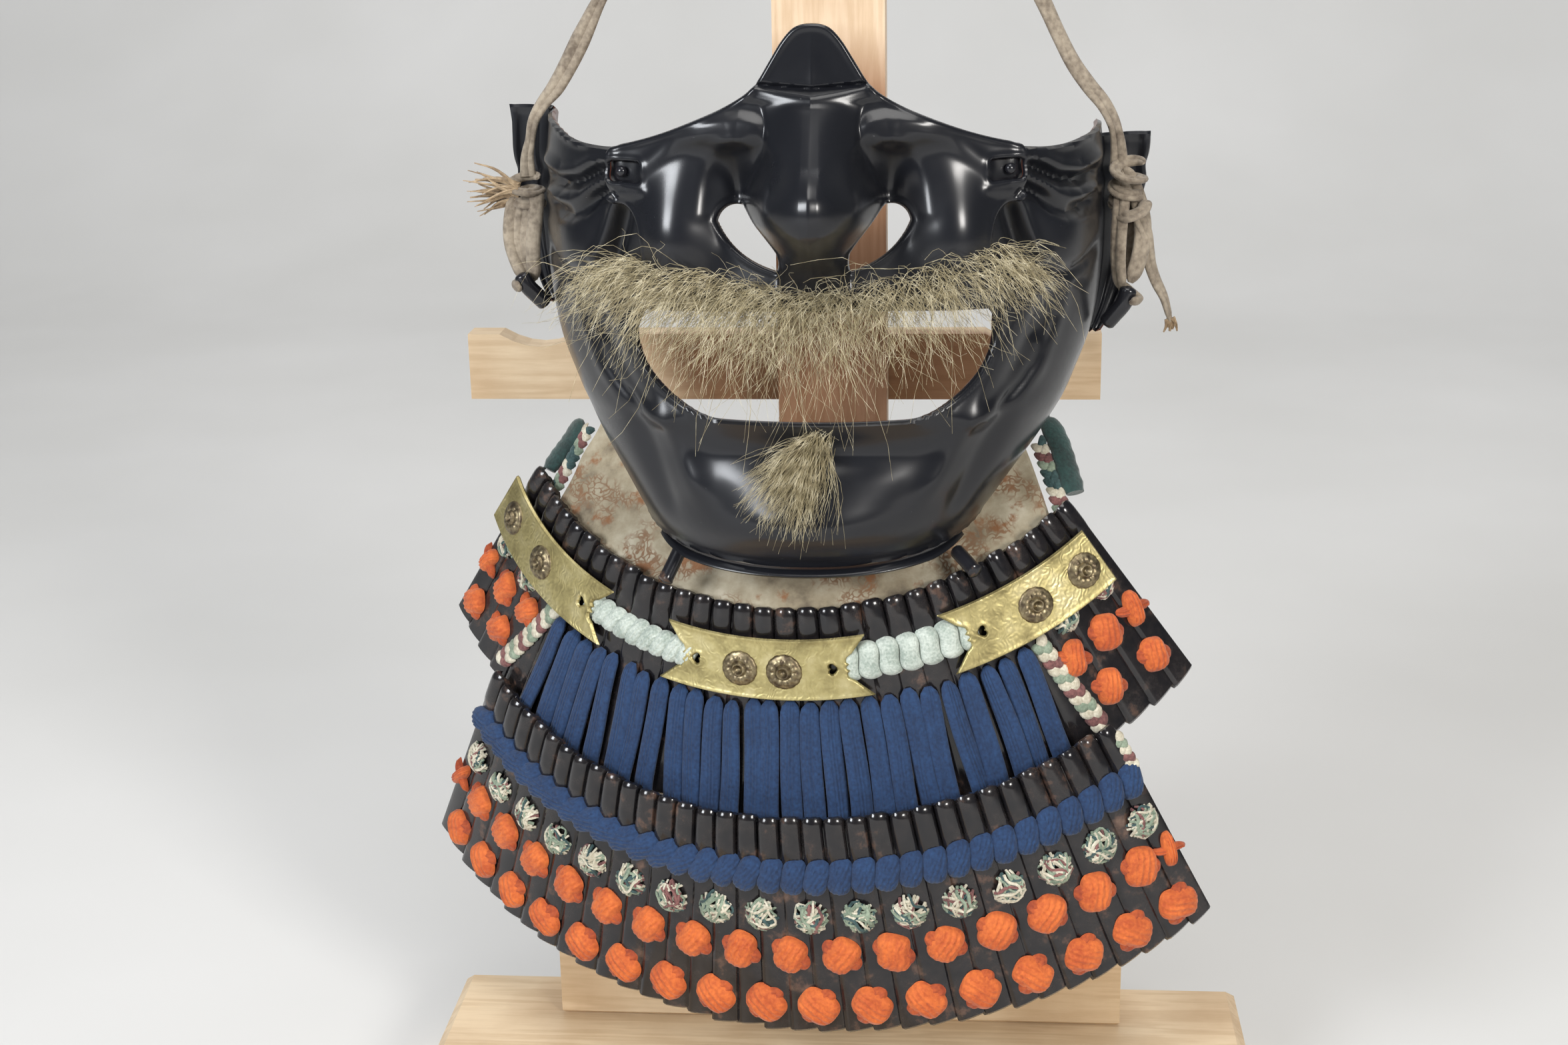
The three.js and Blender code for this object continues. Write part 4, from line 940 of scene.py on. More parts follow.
def chin_rim_place(flat):
    turned, inward = flat[..., 0], -flat[..., 1]
    edge = face_point(turned, jaw_edge(turned))
    middle = np.stack([face_middle(edge[..., 2]), np.full(turned.shape, CHIN_RIM["aim"]), edge[..., 2]], -1)
    spread = CHIN_RIM["out"] * np.clip((1 - np.abs(turned) / CHIN_RIM["reach"]) * 3, 0, 1)
    reach = inward * (MASK_WALL + spread) - spread
    place = edge + reach[..., None] * unit(middle - edge)
    place[..., 2] -= SEAM_GAP + 0.0008 * bell(inward, 0.35)
    return place


flat = flat_grid(np.linspace(-CHIN_RIM["reach"], CHIN_RIM["reach"], 160), -np.linspace(1, 0, 14))
chin_rim = cut_sheet(flat, chin_rim_place, CHIN_RIM["thick"], back=0)
put("chin_rim_iron", chin_rim, [lacquer], ["chin_rim"])

# ---- moustache and chin tuft ---------------------------------------------------------------------
# Bristle hair, set in tufts through holes above the lip and in the chin. It droops over the mouth
# and splays out at the ends.
random.seed(5)
hair_finish, shader, node, link = new_finish("bristle", (0.42, 0.34, 0.19), 0.42)
shader.inputs["Sheen Weight"].default_value = 0.25
shader.inputs["Specular IOR Level"].default_value = 0.6
tone = place_noise(node, 330, 3)
tint(node, link, shader, tone, [
    (0.32, (0.16, 0.13, 0.065)), (0.5, (0.40, 0.335, 0.19)), (0.66, (0.72, 0.65, 0.46)),
])
corners = np.radians([90, 210, 330])
hair_profile = np.stack([np.cos(corners), np.sin(corners)], 1)
HAIR_STEPS = 7


def hair(root, heading, out, length, droop, curl, thick):
    """One hair: it leaves the root along heading, bends down under its weight and curls a little."""
    steps = np.linspace(0, 1, HAIR_STEPS)
    heading = unit(heading)
    sway = unit(np.cross(heading, out))
    phase = random.uniform(0, 6.28)
    wave = curl * np.sin(steps * random.uniform(2.5, 5.5) + phase) - curl * math.sin(phase)
    path = (
        root
        + (length * steps)[:, None] * heading
        + (wave * length)[:, None] * sway
        + (0.3 * wave * length)[:, None] * out
        + (-droop * length * steps**2)[:, None] * np.array([0, 0, 1.0])
    )
    return sweep(path, thick * hair_profile, sizes=1 - 0.65 * steps)


def hair_root(side, height, lift):
    """Where a hair comes out of the iron, and the way out there."""
    side, height = np.array(side), np.array(height)
    at = turned_at(side, height)
    root = face_place(at, height, lift)
    return root, unit(face_place(at, height, 0.01) - root)


MOUSTACHE_HAIRS = 2200
GOATEE_HAIRS = 520
# side, root height, spread of the roots, length, heading sideways
MOUSTACHE = MM * np.array([
    (-57, 250, 3.0, 14, -9), (-45, 253, 4.5, 17, -8), (-32, 252, 5.0, 19, -5.5), (-18, 249, 5.0, 20, -2.5),
    (0, 247.5, 4.0, 20, 0), (14, 249, 4.5, 20, 1.5), (28, 253, 5.0, 17, 3.5), (42, 256, 5.0, 14, 6.5),
    (54, 254, 3.0, 12, 9),
])
hairs = []
for i in range(MOUSTACHE_HAIRS):
    side = random.uniform(-0.053, 0.052) if random.random() < 0.7 else random.gauss(-0.012, 0.018)
    heavy = random.random() < 0.2
    height, spread, length, heading_x = (float(v) for v in read_table(MOUSTACHE, np.array(side)))
    height += random.uniform(-1, 1) * spread
    root, out = hair_root(side, height, PLATE_LIFT - 0.0004)
    length *= random.uniform(0.5, 1.0) * (1.5 if heavy else 1.0)
    fan = 1.2 * heading_x / 0.009 - 0.15 + random.gauss(0, 0.75 if heavy else 0.5)
    heading = 0.85 * out + np.array([1.05 * fan, -0.1, -0.22 + random.gauss(0, 0.75 if heavy else 0.42)])
    thick = random.uniform(0.00006, 0.0001)
    droop = random.uniform(0.15, 0.6)
    hairs.append(hair(root, heading, out, length, droop, random.uniform(0.05, 0.24), thick))
put("moustache_hair", join(hairs), [hair_finish], ["moustache"])

hairs = []
for i in range(GOATEE_HAIRS):
    side, height = random.gauss(0.0005, 0.0016), 0.2125 + random.gauss(0, 0.0018)
    root, out = hair_root(side, height, -0.0002)
    fan = random.triangular(-1.7, 0.22, -0.3)
    heading = 0.5 * out + np.array([1.1 * fan, -0.05, -1.0 + 0.5 * abs(fan) + random.gauss(0, 0.14)])
    length = random.uniform(0.011, 0.0225)
    thick = random.uniform(0.00006, 0.0001)
    droop = random.uniform(0.08, 0.3)
    hairs.append(hair(root, heading, out, length, droop, random.uniform(0.02, 0.14), thick))
put("goatee_hair", join(hairs), [hair_finish], ["goatee"])

# ---- throat guard: the two tiers of scales -------------------------------------------------------
# Each tier is a row of narrow rawhide scales, lapped and laced edge to edge and lacquered together.
# Their rounded heads stand in a row along the top.
UPPER_CONE = {"tip": (-14.2, 12.9, 297.6), "turn": -4.1, "tilt": 38.1, "roll": -6.4, "flare": 41.5}
LOWER_CONE = {"tip": (-19.7, -5.4, 317.7), "turn": -4.5, "tilt": 33.9, "roll": -6.6, "flare": 34.9}
LAME = 1.6
UPPER_TIER = {"from": -67.4, "to": 47, "top": 132.4, "bottom": 192.6, "scales": 31, "head": 9.5}
LOWER_TIER = {"from": -58.2, "to": 37.6, "top": 205.8, "bottom": 268.4, "scales": 34, "head": 12.5}


def cone_turn(cone):
    return np.array(
        Matrix.Rotation(math.radians(cone["roll"]), 3, "Y")
        @ Matrix.Rotation(math.radians(cone["turn"]), 3, "Z")
        @ Matrix.Rotation(math.radians(cone["tilt"]), 3, "X")
    )


def cone_place(cone, angle, slant, lift):
    """A point on a cone's wall: degrees from its front, millimetres down from its tip and off it."""
    angle, slant, lift = np.broadcast_arrays(np.asarray(angle, float), slant, lift)
    a, b = np.radians(angle), math.radians(cone["flare"])
    radius = slant * math.sin(b) + lift * math.cos(b)
    local = np.stack([radius * np.sin(a), -radius * np.cos(a), lift * math.sin(b) - slant * math.cos(b)], -1)
    return MM * (local @ cone_turn(cone).T + np.array(cone["tip"]))


def tier_sheet(cone, tier, seed):
    chance = np.random.default_rng(seed)
    count = tier["scales"]
    marks = np.array([-0.998, -0.97, -0.86, -0.66, -0.4, -0.1, 0.2, 0.45, 0.65, 0.78, 0.87, 0.93])
    across = ((np.arange(count)[:, None] + (marks + 1) / 2) / count).ravel()
    off_middle = np.tile(marks, count)
    which = np.repeat(np.arange(count), len(marks))
    rise_each = chance.normal(0, 0.14, count)
    top_each = chance.normal(0, 0.25, count)
    foot_each = chance.normal(0, 0.30, count)
    down = [np.linspace(0, 0.05, 7), np.linspace(0.05, 0.95, 26), np.linspace(0.95, 1, 5)]
    down = np.unique(np.concatenate(down))

    def place(flat):
        column = flat[..., 0].astype(int)
        v = -flat[..., 1]
        angle = tier["from"] + (tier["to"] - tier["from"]) * across[column]
        corner = np.abs(off_middle[column]) ** 4
        top = tier["top"] + 1.5 * corner + top_each[which[column]]
        bottom = tier["bottom"] + 0.45 - 0.5 * (1 + off_middle[column]) + foot_each[which[column]] * 0.5
        slant = top + (bottom - top) * v
        head = 1 / (1 + np.exp((slant - tier["top"] - tier["head"]) / 0.5))
        gap = np.clip((np.abs(off_middle[column] - 0.015) - 0.86) / 0.11, 0, 1)
        crown = (0.3 + 1.15 * head) * (1 - np.abs(off_middle[column]) ** 2.2) - 1.0 * gap * (0.4 + 0.6 * head)
        crown = crown + 0.25 * head * bell(off_middle[column] - 0.72, 0.09)
        lean = -0.34 * off_middle[column] * (0.6 + 0.4 * head)
        rounded = 1.5 * np.exp(-(slant - top) / 0.9)
        lift = crown + lean + rise_each[which[column]] - 0.45 - rounded
        return cone_place(cone, angle, slant, lift)

    return cut_sheet(flat_grid(np.arange(len(across)), -down), place, LAME * MM, back=0)


scale_lacquer, shader, node, link = new_finish("scale_lacquer", (0.012, 0.010, 0.011), 0.3)
shader.inputs["Coat Weight"].default_value = 0.8
shader.inputs["Coat Roughness"].default_value = 0.13
shader.inputs["Specular IOR Level"].default_value = 0.15
patch = place_noise(node, 150, 6, roughness=0.65)
tint(node, link, shader, patch, [
    (0.40, (0.008, 0.0075, 0.009)), (0.58, (0.018, 0.015, 0.015)), (0.66, (0.075, 0.043, 0.031)),
    (0.78, (0.14, 0.085, 0.06)),
])
link(ramp(node, patch, [(0.52, 0.24), (0.68, 0.6)]), shader.inputs["Roughness"])
bump(node, link, shader, patch, 0.35, 0.0003)
put("tier_upper_scales", tier_sheet(UPPER_CONE, UPPER_TIER, 3), [scale_lacquer], ["tier_upper"])
put("tier_lower_scales", tier_sheet(LOWER_CONE, LOWER_TIER, 4), [scale_lacquer], ["tier_lower"])

# ---- leather collar ------------------------------------------------------------------------------
# A band of printed doe leather behind the upper tier, stiffened inside. It leans back from the
# scale heads, and its brown print has worn down to the bare skin in places.
COLLAR = {"from": -60, "to": 46, "bottom": 137, "lift": -4.4, "thick": 1.8, "lean": 0.7, "skew": 3.5}
COLLAR_TOP = np.array([
    (-60, 112), (-50, 110), (-42, 112), (-34, 116), (-24, 121), (-10, 124), (14, 124), (26, 121),
    (36, 117), (46, 114.5),
])


def collar_place(angle, slant, lift):
    place = cone_place(UPPER_CONE, angle, slant, COLLAR["lift"] + lift)
    place[..., 1] += MM * COLLAR["lean"] * (COLLAR["bottom"] - slant)
    return place


def collar_sheet(flat):
    angle, v = flat[..., 0], -flat[..., 1]
    top = read_table(COLLAR_TOP, angle)[..., 0]
    slant = top + (COLLAR["bottom"] - top) * v
    share = (angle - COLLAR["from"]) / (COLLAR["to"] - COLLAR["from"])
    angle = angle - COLLAR["skew"] * v * share
    wave = 0.25 * np.sin(angle * 0.35) * np.sin(slant * 0.5) + 0.2 * np.sin(angle * 0.9 + slant * 0.3)
    return collar_place(angle, slant, COLLAR["thick"] + wave - 0.2)


leather, shader, node, link = new_finish("printed_leather", (0.50, 0.43, 0.29), 0.75)
shader.inputs["Sheen Weight"].default_value = 0.15
here = node("TexCoord").outputs["Object"]
warp = node("TexNoise", {"Vector": here, "Scale": 180.0, "Detail": 2.0}).outputs["Color"]
moved = mix(node, 0.012, here, warp)
cracks = node("TexVoronoi", {"Vector": moved, "Scale": 420.0}, feature="DISTANCE_TO_EDGE").outputs["Distance"]
print_lines = ramp(node, cracks, [(0.06, 1), (0.16, 0)])
where = ramp(node, place_noise(node, 75, 4), [(0.50, 0), (0.58, 1)])
blots = ramp(node, place_noise(node, 150, 5, roughness=0.6), [(0.57, 0), (0.66, 0.9)])
skin = ramp(node, place_noise(node, 90, 6, roughness=0.6), [
    (0.30, (0.13, 0.10, 0.065)), (0.45, (0.30, 0.25, 0.165)), (0.58, (0.40, 0.35, 0.25)),
    (0.72, (0.52, 0.47, 0.36)),
])
print_mask = node("Math", {0: print_lines, 1: where}, operation="MULTIPLY").outputs[0]
printed = mix(node, print_mask, skin, (0.22, 0.13, 0.07, 1))
link(mix(node, blots, printed, (0.24, 0.10, 0.035, 1)), shader.inputs["Base Color"])
grain = place_noise(node, 1500, 4)
bump(node, link, shader, grain, 0.5, 0.0002)
flat = flat_grid(np.linspace(COLLAR["from"], COLLAR["to"], 150), -np.linspace(0, 1, 40))
collar = put(
    "collar_leather_band", cut_sheet(flat, collar_sheet, COLLAR["thick"] * MM, back=0), [leather],
    ["collar_leather"],
)
laid = collar_sheet(flat)

# ---- collar braids -------------------------------------------------------------------------------
# A flat braid of four mottled silks, sewn along each end of the collar. Its strands are laid
# aslant from both sides in turn, bowed up in the middle.


def ribbed_profile(width, thick, ribs, depth, count):
    """The cut of a flat silk strand, in millimetres, with ribs of that depth along its faces."""
    angle = np.linspace(0, 2 * np.pi, count, endpoint=False)
    x, y = np.cos(angle), np.sin(angle)
    if ribs:
        y = y * (1 - depth * (0.5 - 0.5 * np.cos(np.pi * ribs * (x + 1))))
    return MM * np.stack([width / 2 * x, thick / 2 * y], 1)


def degrees_per_mm(cone, slant):
    """How far one millimetre reaches round a cone, that far down it."""
    return math.degrees(1 / (slant * math.sin(math.radians(cone["flare"]))))


def herringbone(cone, start, end, width, pitch, colors, thick, place=None):
    """A flat braid: short slanting strands from alternate sides down a line on a cone, or where
    place lays them. start and end are (degrees, millimetres)."""
    start, end = np.array(start, float), np.array(end, float)
    lay = place or (lambda angle, slant, lift: cone_place(cone, angle, slant, lift))
    turn_per_mm = degrees_per_mm(cone, (start[1] + end[1]) / 2)
    arch = np.sin(np.pi * np.linspace(0, 1, 7))
    run = np.array([(end[0] - start[0]) / turn_per_mm, end[1] - start[1]])
    length = float(np.hypot(*run))
    ahead = run / length
    beside = np.array([-ahead[1], ahead[0]])
    profile = ribbed_profile(1.25 * pitch, thick, 2, 0.2, 10)
    strands = []
    for i in range(int(length / pitch)):
        for sign in (-1, 1):
            at = pitch * (i + (0.5 if sign > 0 else 0))
            outer = ahead * at + beside * sign * width / 2
            inner = ahead * (at + 1.3 * pitch) - beside * sign * 0.12 * width
            angle, slant = start[:, None] + np.linspace(outer, inner, 7).T * ((turn_per_mm,), (1,))
            path = lay(angle, slant, 0.85 * arch**0.55 - 0.2)
            ups = unit(lay(angle, slant, 1.0) - lay(angle, slant, 0.0))
            color = colors[(i + (1 if sign > 0 else 0)) % len(colors)]
            strands.append(sweep(path, profile, ups=ups, sizes=0.35 + 0.65 * arch**0.5, paint=color))
    return join(strands)


cream_silk = cloth_finish("cream_silk", (0.38, 0.34, 0.25), (0.66, 0.62, 0.50), 1500)
sage_silk = cloth_finish("sage_silk", (0.13, 0.17, 0.12), (0.28, 0.34, 0.25), 1500)
plum_silk = cloth_finish("plum_silk", (0.08, 0.03, 0.03), (0.24, 0.10, 0.09), 1500)
spruce_silk = cloth_finish("spruce_silk", (0.012, 0.035, 0.035), (0.05, 0.10, 0.10), 1500)
MOTTLED = [cream_silk, sage_silk, plum_silk, spruce_silk]
for name, at, foot_at, top in (("left", -62.1, -62.1, 116), ("right", 48.6, 45.1, 119)):
    braid = herringbone(
        UPPER_CONE, (at, top), (foot_at, 136), 4.4, 2.1, [3, 0, 2, 1, 3], 1.6,
        place=lambda angle, slant, lift: collar_place(angle, slant, lift + 1.2),
    )
    put(f"collar_braid_{name}_silk", braid, MOTTLED, [f"collar_braid_{name}"])

# ---- dark green rims at the collar's ends --------------------------------------------------------
# A roll of dark green cloth over a core, bound round each end of the collar. The right one's top
# end is gathered into a small knob.
green_cloth = cloth_finish("green_cloth", (0.006, 0.022, 0.02), (0.018, 0.062, 0.055), 1300, 0.00025, 0.5)
for name, at, foot_at, top in (("left", -66.4, -66.4, 119), ("right", 53.1, 49.6, 118)):
    steps = np.linspace(0, 1, 26)
    angles = at + (foot_at - at) * steps
    path = collar_place(angles + 0.4 * np.sin(5 * steps), top - 0.5 + (135.5 - top) * steps, 0.9)
    down = top + (135 - top) * steps
    ups = unit(collar_place(angles, down, 2.0) - collar_place(angles, down, 0.0))
    sizes = np.interp(steps, [0, 0.05, 0.12, 0.3, 0.9, 1], [0.35, 0.75, 0.95, 1, 1, 0.8])
    sizes = sizes * (1 + 0.04 * np.sin(38 * steps))
    roll = [sweep(path, MM * round_profile * (3.3, 1.8), ups=ups, sizes=sizes)]
    if name == "right":
        knob = collar_place(np.full(9, at - 0.4), top - 0.4 - np.linspace(0, 4.6, 9), 0.9)
        wide = np.array([0.6, 0.75, 0.55, 0.72, 0.9, 0.95, 0.85, 0.6, 0.2])
        roll.append(sweep(knob, MM * 2.5 * round_profile * (1, 0.8), ups=ups[:1], sizes=wide))
    put(f"collar_rim_{name}_roll", join(roll), [green_cloth], [f"collar_rim_{name}"])

# ---- blue lacing ---------------------------------------------------------------------------------
# Flat ribbed braids of indigo silk, side by side. They carry the lower tier: each comes out of the
# upper scales in a round loop and goes down behind the lower heads.
LACING = {"from": -47, "to": 29, "top": 158.8, "bottom": 191.4, "laces": 27}


def cone_out(cone, angle, slant):
    return unit(cone_place(cone, angle, slant, 1.0) - cone_place(cone, angle, slant, 0.0))


blue_silk = cloth_finish(
    "indigo_silk", (0.004, 0.018, 0.060), (0.012, 0.046, 0.130), 1100, 0.0002, 0.15, blotch=0.4,
)
chance = np.random.default_rng(8)
laces = []
pitch = (LACING["to"] - LACING["from"]) / LACING["laces"]
for i in range(LACING["laces"]):
    at = LACING["from"] + pitch * (i + 0.5) + chance.normal(0, 0.18)
    aslant = np.clip((-22 - at) / 20, 0, 1)
    lean = -0.35 * pitch * (at + 9) / 38 - 1.5 * aslant + chance.normal(0, 0.3)
    width = 5.45 + chance.normal(0, 0.2)
    steps = np.linspace(0, 1, 26)
    top = LACING["top"] + chance.normal(0, 0.35)
    slant = top + (LACING["bottom"] + 1.8 - top) * steps
    angle = at + lean * steps + 0.12 * np.sin(5 * steps + i)
    lift = 0.1 + 1.15 * np.clip(steps * 9, 0, 1) ** 0.5 + 0.25 * np.sin(3.1 * steps + chance.uniform(0, 3))
    lift = lift + chance.normal(0, 0.15) - 0.9 * np.clip(steps - 0.9, 0, 1) * 10
    path = cone_place(UPPER_CONE, angle, slant, lift)
    sizes = np.interp(steps, [0, 0.02, 0.05, 0.1, 0.5, 1], [0.35, 0.66, 0.86, 0.95, 1.0, 1.06])
    turns = np.full(26, chance.normal(0, 0.16)) + 0.1 * np.sin(4 * steps + i)
    profile = ribbed_profile(width, 3.0, 6, 0.2, 40)
    laces.append(sweep(path, profile, ups=cone_out(UPPER_CONE, angle, slant), sizes=sizes, turns=turns))
put("blue_lacing_silk", join(laces), [blue_silk], ["blue_lacing"])

# ---- edge braids ---------------------------------------------------------------------------------
# A flat braid of mottled silk at each side of the blue lacing. It binds the side of the gap between
# the tiers, and its ends are drawn through to the back.
for name, top_angle, bottom_angle in (("left", -48.2, -54.4), ("right", 30.2, 32.8)):
    braid = herringbone(UPPER_CONE, (top_angle, 158.2), (bottom_angle, 188), 4.6, 2.5, [0, 1, 0, 2], 1.8)
    put(f"edge_braid_{name}_silk", braid, MOTTLED, [f"edge_braid_{name}"])

# ---- pale braids ---------------------------------------------------------------------------------
# Fat hanks of pale grey-green silk, laid aslant between the brass plates. Each is drawn through a
# pair of lacing holes, so it bulges in the middle.


def pillow(
    cone, at, slant, wide, long, heading, high, threads, depth, square, hook, paint=0, base=-0.3, slope=0.0,
):
    """A hank of silk pulled down at its rim: heading is its lean in degrees. Its threads run along
    it, or across it at the slope."""
    count = 13 + 3 * threads
    a, b = np.meshgrid(np.linspace(-1, 1, count), np.linspace(-1, 1, 15 if slope == 0 else 18))
    out = np.maximum(np.abs(a), np.abs(b))
    round_off = out / np.maximum((np.abs(a) ** square + np.abs(b) ** square) ** (1 / square), 1e-9)
    x, y = a * round_off, b * round_off
    thread = a + slope * b
    grooves = depth * (0.5 - 0.5 * np.cos(np.pi * threads * (thread + 1))) * (1 - out**8)
    lift = base + high * np.clip(1 - out**2.6, 0, 1) ** 0.5 - grooves
    across = wide / 2 * x + hook * np.sin(np.pi * y)
    along = long / 2 * y
    c, s = math.cos(math.radians(heading)), math.sin(math.radians(heading))
    turned = at + (across * c + along * s) * degrees_per_mm(cone, slant)
    points = cone_place(cone, turned, slant + along * c - across * s, lift)
    under = cone_place(cone, at, slant, base - 0.2)[None]
    grid = np.arange(a.size).reshape(a.shape)
    rim = np.concatenate([grid[0, :-1], grid[:-1, -1], grid[-1, :0:-1], grid[:0:-1, 0]])
    faces = np.concatenate([quads(grid), close_rim(rim, a.size)])
    return np.concatenate([points.reshape(-1, 3), under]), faces, np.full(len(faces), paint)


pale_silk = cloth_finish("celadon_silk", (0.29, 0.345, 0.30), (0.58, 0.63, 0.57), 1600, 0.0004, 0.3)
hanks = [
    pillow(
        UPPER_CONE, at, 149.2, 5.4, 9.8, -40 + 4 * math.sin(2 * i), 2.3, 4, 0.3, 2.0, 0.4,
        base=-0.2 + 0.12 * i,
    )
    for i, at in enumerate(np.linspace(-41.3, -22.4, 9))
]
put("pale_braid_left_silk", join(hanks), [pale_silk], ["pale_braid_left"])
hanks = [
    pillow(UPPER_CONE, at, 148.6, 5.9, 10.6, 14, 2.4, 2, 0.05, 3.0, -0.9, base=-0.1 + 0.1 * (i % 2))
    for i, at in enumerate(np.linspace(3.0, 21.6, 7))
]
put("pale_braid_right_silk", join(hanks), [pale_silk], ["pale_braid_right"])

# ---- blue braid ----------------------------------------------------------------------------------
# A twisted indigo braid that runs under the lower scale heads. At the left it lies as a tight rope,
# and at the right its turns stand apart a little.
BRAID_ROW = 222.9
BRAID_PITCH = 2.80
turns = []
for i, at in enumerate(np.arange(-56.4, 36.2, BRAID_PITCH)):
    tight = np.clip((-8 - at) / 20, 0, 1)
    lean = -16 - 34 * tight + 4 * math.sin(1.9 * i)
    wide, long = 6.9 + 0.3 * tight, 10.8 + 1.2 * tight
    turns.append(pillow(
        LOWER_CONE, at, BRAID_ROW, wide, long, lean, 2.9, 5, 0.42, 2.7, -0.5 * tight,
        base=-0.3 + 0.15 * math.sin(2.4 * i), slope=0.5,
    ))
put("blue_braid_silk", join(turns), [blue_silk], ["blue_braid"])

# ---- knots ---------------------------------------------------------------------------------------
# Rows of cross knots of untwisted silk, orange and mottled, sewn through the lower tier and the
# ends of the upper one. The under arm of each shows as a loop at two of its corners, in the same orange
# painted darker as shade.
orange_silk = cloth_finish("orange_silk", (0.40, 0.065, 0.009), (0.62, 0.14, 0.021), 1100, 0.0003, 0.2, 0.75)
# painted shade: the under arm takes the same orange silk made darker, for the shade it lies in beneath the
# over arm
shaded_orange = cloth_finish(
    "shaded_orange_silk", (0.26, 0.035, 0.006), (0.46, 0.085, 0.012), 1100, 0.0003, 0.2, 0.75,
)
KNOT_STRANDS = 26
# how far down the lower tier each row of knots is sewn
KNOT_ROWS = {"mottled": 234.5, "middle": 245.5, "bottom": 260.4}
chance = np.random.default_rng(21)


def orange_knot(cone, at, slant, size=11.2, narrow=1.0, heading=-28.0):
    """A wide arm of silk laid over a narrow one."""
    lean = heading + chance.normal(0, 7)
    wide, long = size * 0.80 * narrow * chance.uniform(0.94, 1.06), size * 0.96 * chance.uniform(0.96, 1.04)
    over = pillow(cone, at, slant, wide, long, lean, 3.3, 5, 0.42, 2.8, 0.35 * chance.normal(), slope=0.12)
    wide, long = size * 0.50 * narrow, size * 1.06
    under = pillow(cone, at, slant, wide, long, lean + 84, 2.2, 3, 0.4, 2.6, 0.3, paint=1)
    return join([over, under])


def mottled_knot(cone, at, slant, size, colors):
    """Loose curly strands heaped over each other."""
    turn_per_mm = degrees_per_mm(cone, slant)
    strands = []
    for k in range(KNOT_STRANDS):
        heading = chance.uniform(0, np.pi)
        off = size * 0.40 * chance.uniform(-1, 1)
        reach = math.sqrt(max((size / 2) ** 2 - off**2, 1)) * chance.uniform(0.85, 1.08)
        steps = np.linspace(-1, 1, 9)
        curl = size * 0.16 * chance.uniform(-1, 1) * np.cos(steps * 1.6) + 0.5 * np.sin(steps * 4 + k)
        x = np.cos(heading) * reach * steps - np.sin(heading) * (off + curl)
        y = np.sin(heading) * reach * steps + np.cos(heading) * (off + curl)
        r = np.clip(np.hypot(x, y) / (size / 2), 0, 1)
        lift = -0.3 + (1.9 + 0.9 * chance.uniform(0, 1)) * np.clip(1 - r**2.4, 0, 1) ** 0.5
        path = cone_place(cone, at + x * turn_per_mm, slant + y, lift)
        thick = chance.uniform(0.65, 1.05)
        color = colors[int(chance.integers(len(colors)))]
        profile = ribbed_profile(thick, thick * 0.9, 0, 0, 5)
        strands.append(sweep(path, profile, ups=cone_out(cone, at, slant), paint=color))
    return join(strands)


mottled_knots = [
    mottled_knot(LOWER_CONE, a, KNOT_ROWS["mottled"], 8.8, [0, 0, 0, 1, 1, 2, 3])
    for a in np.arange(-55, 35.1, 5.625)
]
mottled_knots += [
    mottled_knot(UPPER_CONE, a, s, 7.2, [0, 0, 1, 2, 3])
    for a, s in ((42.6, 156.6), (35.4, 157.9), (-63.8, 159.7), (-56.1, 159.1))
]
mottled_knots += [herringbone(LOWER_CONE, (36.9, 209.5), (37.1, 221), 2.6, 2.2, [0, 1, 0, 2], 1.6)]
put("mottled_knots", join(mottled_knots), MOTTLED)
orange_knots = [orange_knot(LOWER_CONE, a, KNOT_ROWS["middle"]) for a in np.arange(-52.2, 32.6, 5.65)]
orange_knots += [orange_knot(LOWER_CONE, a, KNOT_ROWS["middle"], 10, 0.45) for a in (-57.0, 36.2)]
orange_knots += [
    orange_knot(LOWER_CONE, a, KNOT_ROWS["bottom"], 11.4, heading=52.0) for a in np.linspace(-54.4, 34.5, 17)
]
orange_knots += [
    orange_knot(UPPER_CONE, a, s, 10.2, w)
    for a, s, w in (
        (44.6, 167.6, 0.6), (39.5, 167.7, 1), (33.8, 168.4, 0.8), (43.3, 181.2, 1), (36.1, 180.4, 0.9),
        (-65.8, 169.9, 0.6), (-59.7, 169.1, 1), (-53.5, 166.9, 0.8), (-64.3, 183.8, 1), (-57.2, 180, 0.9),
    )
]
put("orange_knots", join(orange_knots), [orange_silk, shaded_orange])

# ---- brass plates --------------------------------------------------------------------------------
# Thin gilt-brass mounts with an engraved ground, held by rosette-headed rivets. Each end that
# faces a braid is cut to a swallow tail and pierced with a heart.
PLATE = {"top": 141, "bottom": 157.6, "lift": 1.5, "thick": 1.2}
PLATES = {
    "left": {"from": -69, "to": -37.1, "tails": (False, True), "rivets": (-64.1, -53.6)},
    "middle": {"from": -26.2, "to": 6.4, "tails": (True, True), "rivets": (-13.4, -6.6)},
    "right": {"from": 17.7, "to": 44.7, "tails": (True, False), "rivets": (32.2, 41.2)},
}
PLATE_RADIUS = 0.0991
HEART_SIZE = 0.0014
ROSETTE_RADIUS = 4.7
HALF_DEEP = MM * (PLATE["bottom"] - PLATE["top"]) / 2
brass, shader, node, link = new_finish("engraved_brass", (0.50, 0.44, 0.22), 0.42, 0.9)
tarnish = place_noise(node, 120, 6, roughness=0.6)
tint(node, link, shader, tarnish, [
    (0.3, (0.24, 0.20, 0.09)), (0.5, (0.48, 0.41, 0.19)), (0.7, (0.66, 0.58, 0.32)),
])
link(ramp(node, tarnish, [(0.35, 0.55), (0.7, 0.38)]), shader.inputs["Roughness"])
here = node("TexCoord").outputs["Object"]
chasing = node("TexVoronoi", {"Vector": here, "Scale": 900.0}).outputs["Distance"]
scroll = {"Vector": here, "Scale": 160.0, "Distortion": 22.0, "Detail": 2.0, "Detail Scale": 1.2}
scroll = node("TexWave", scroll)
ground = node("Math", {0: chasing, 1: scroll.outputs["Fac"]}, operation="ADD").outputs[0]
bump(node, link, shader, ground, 0.35, 0.00014)


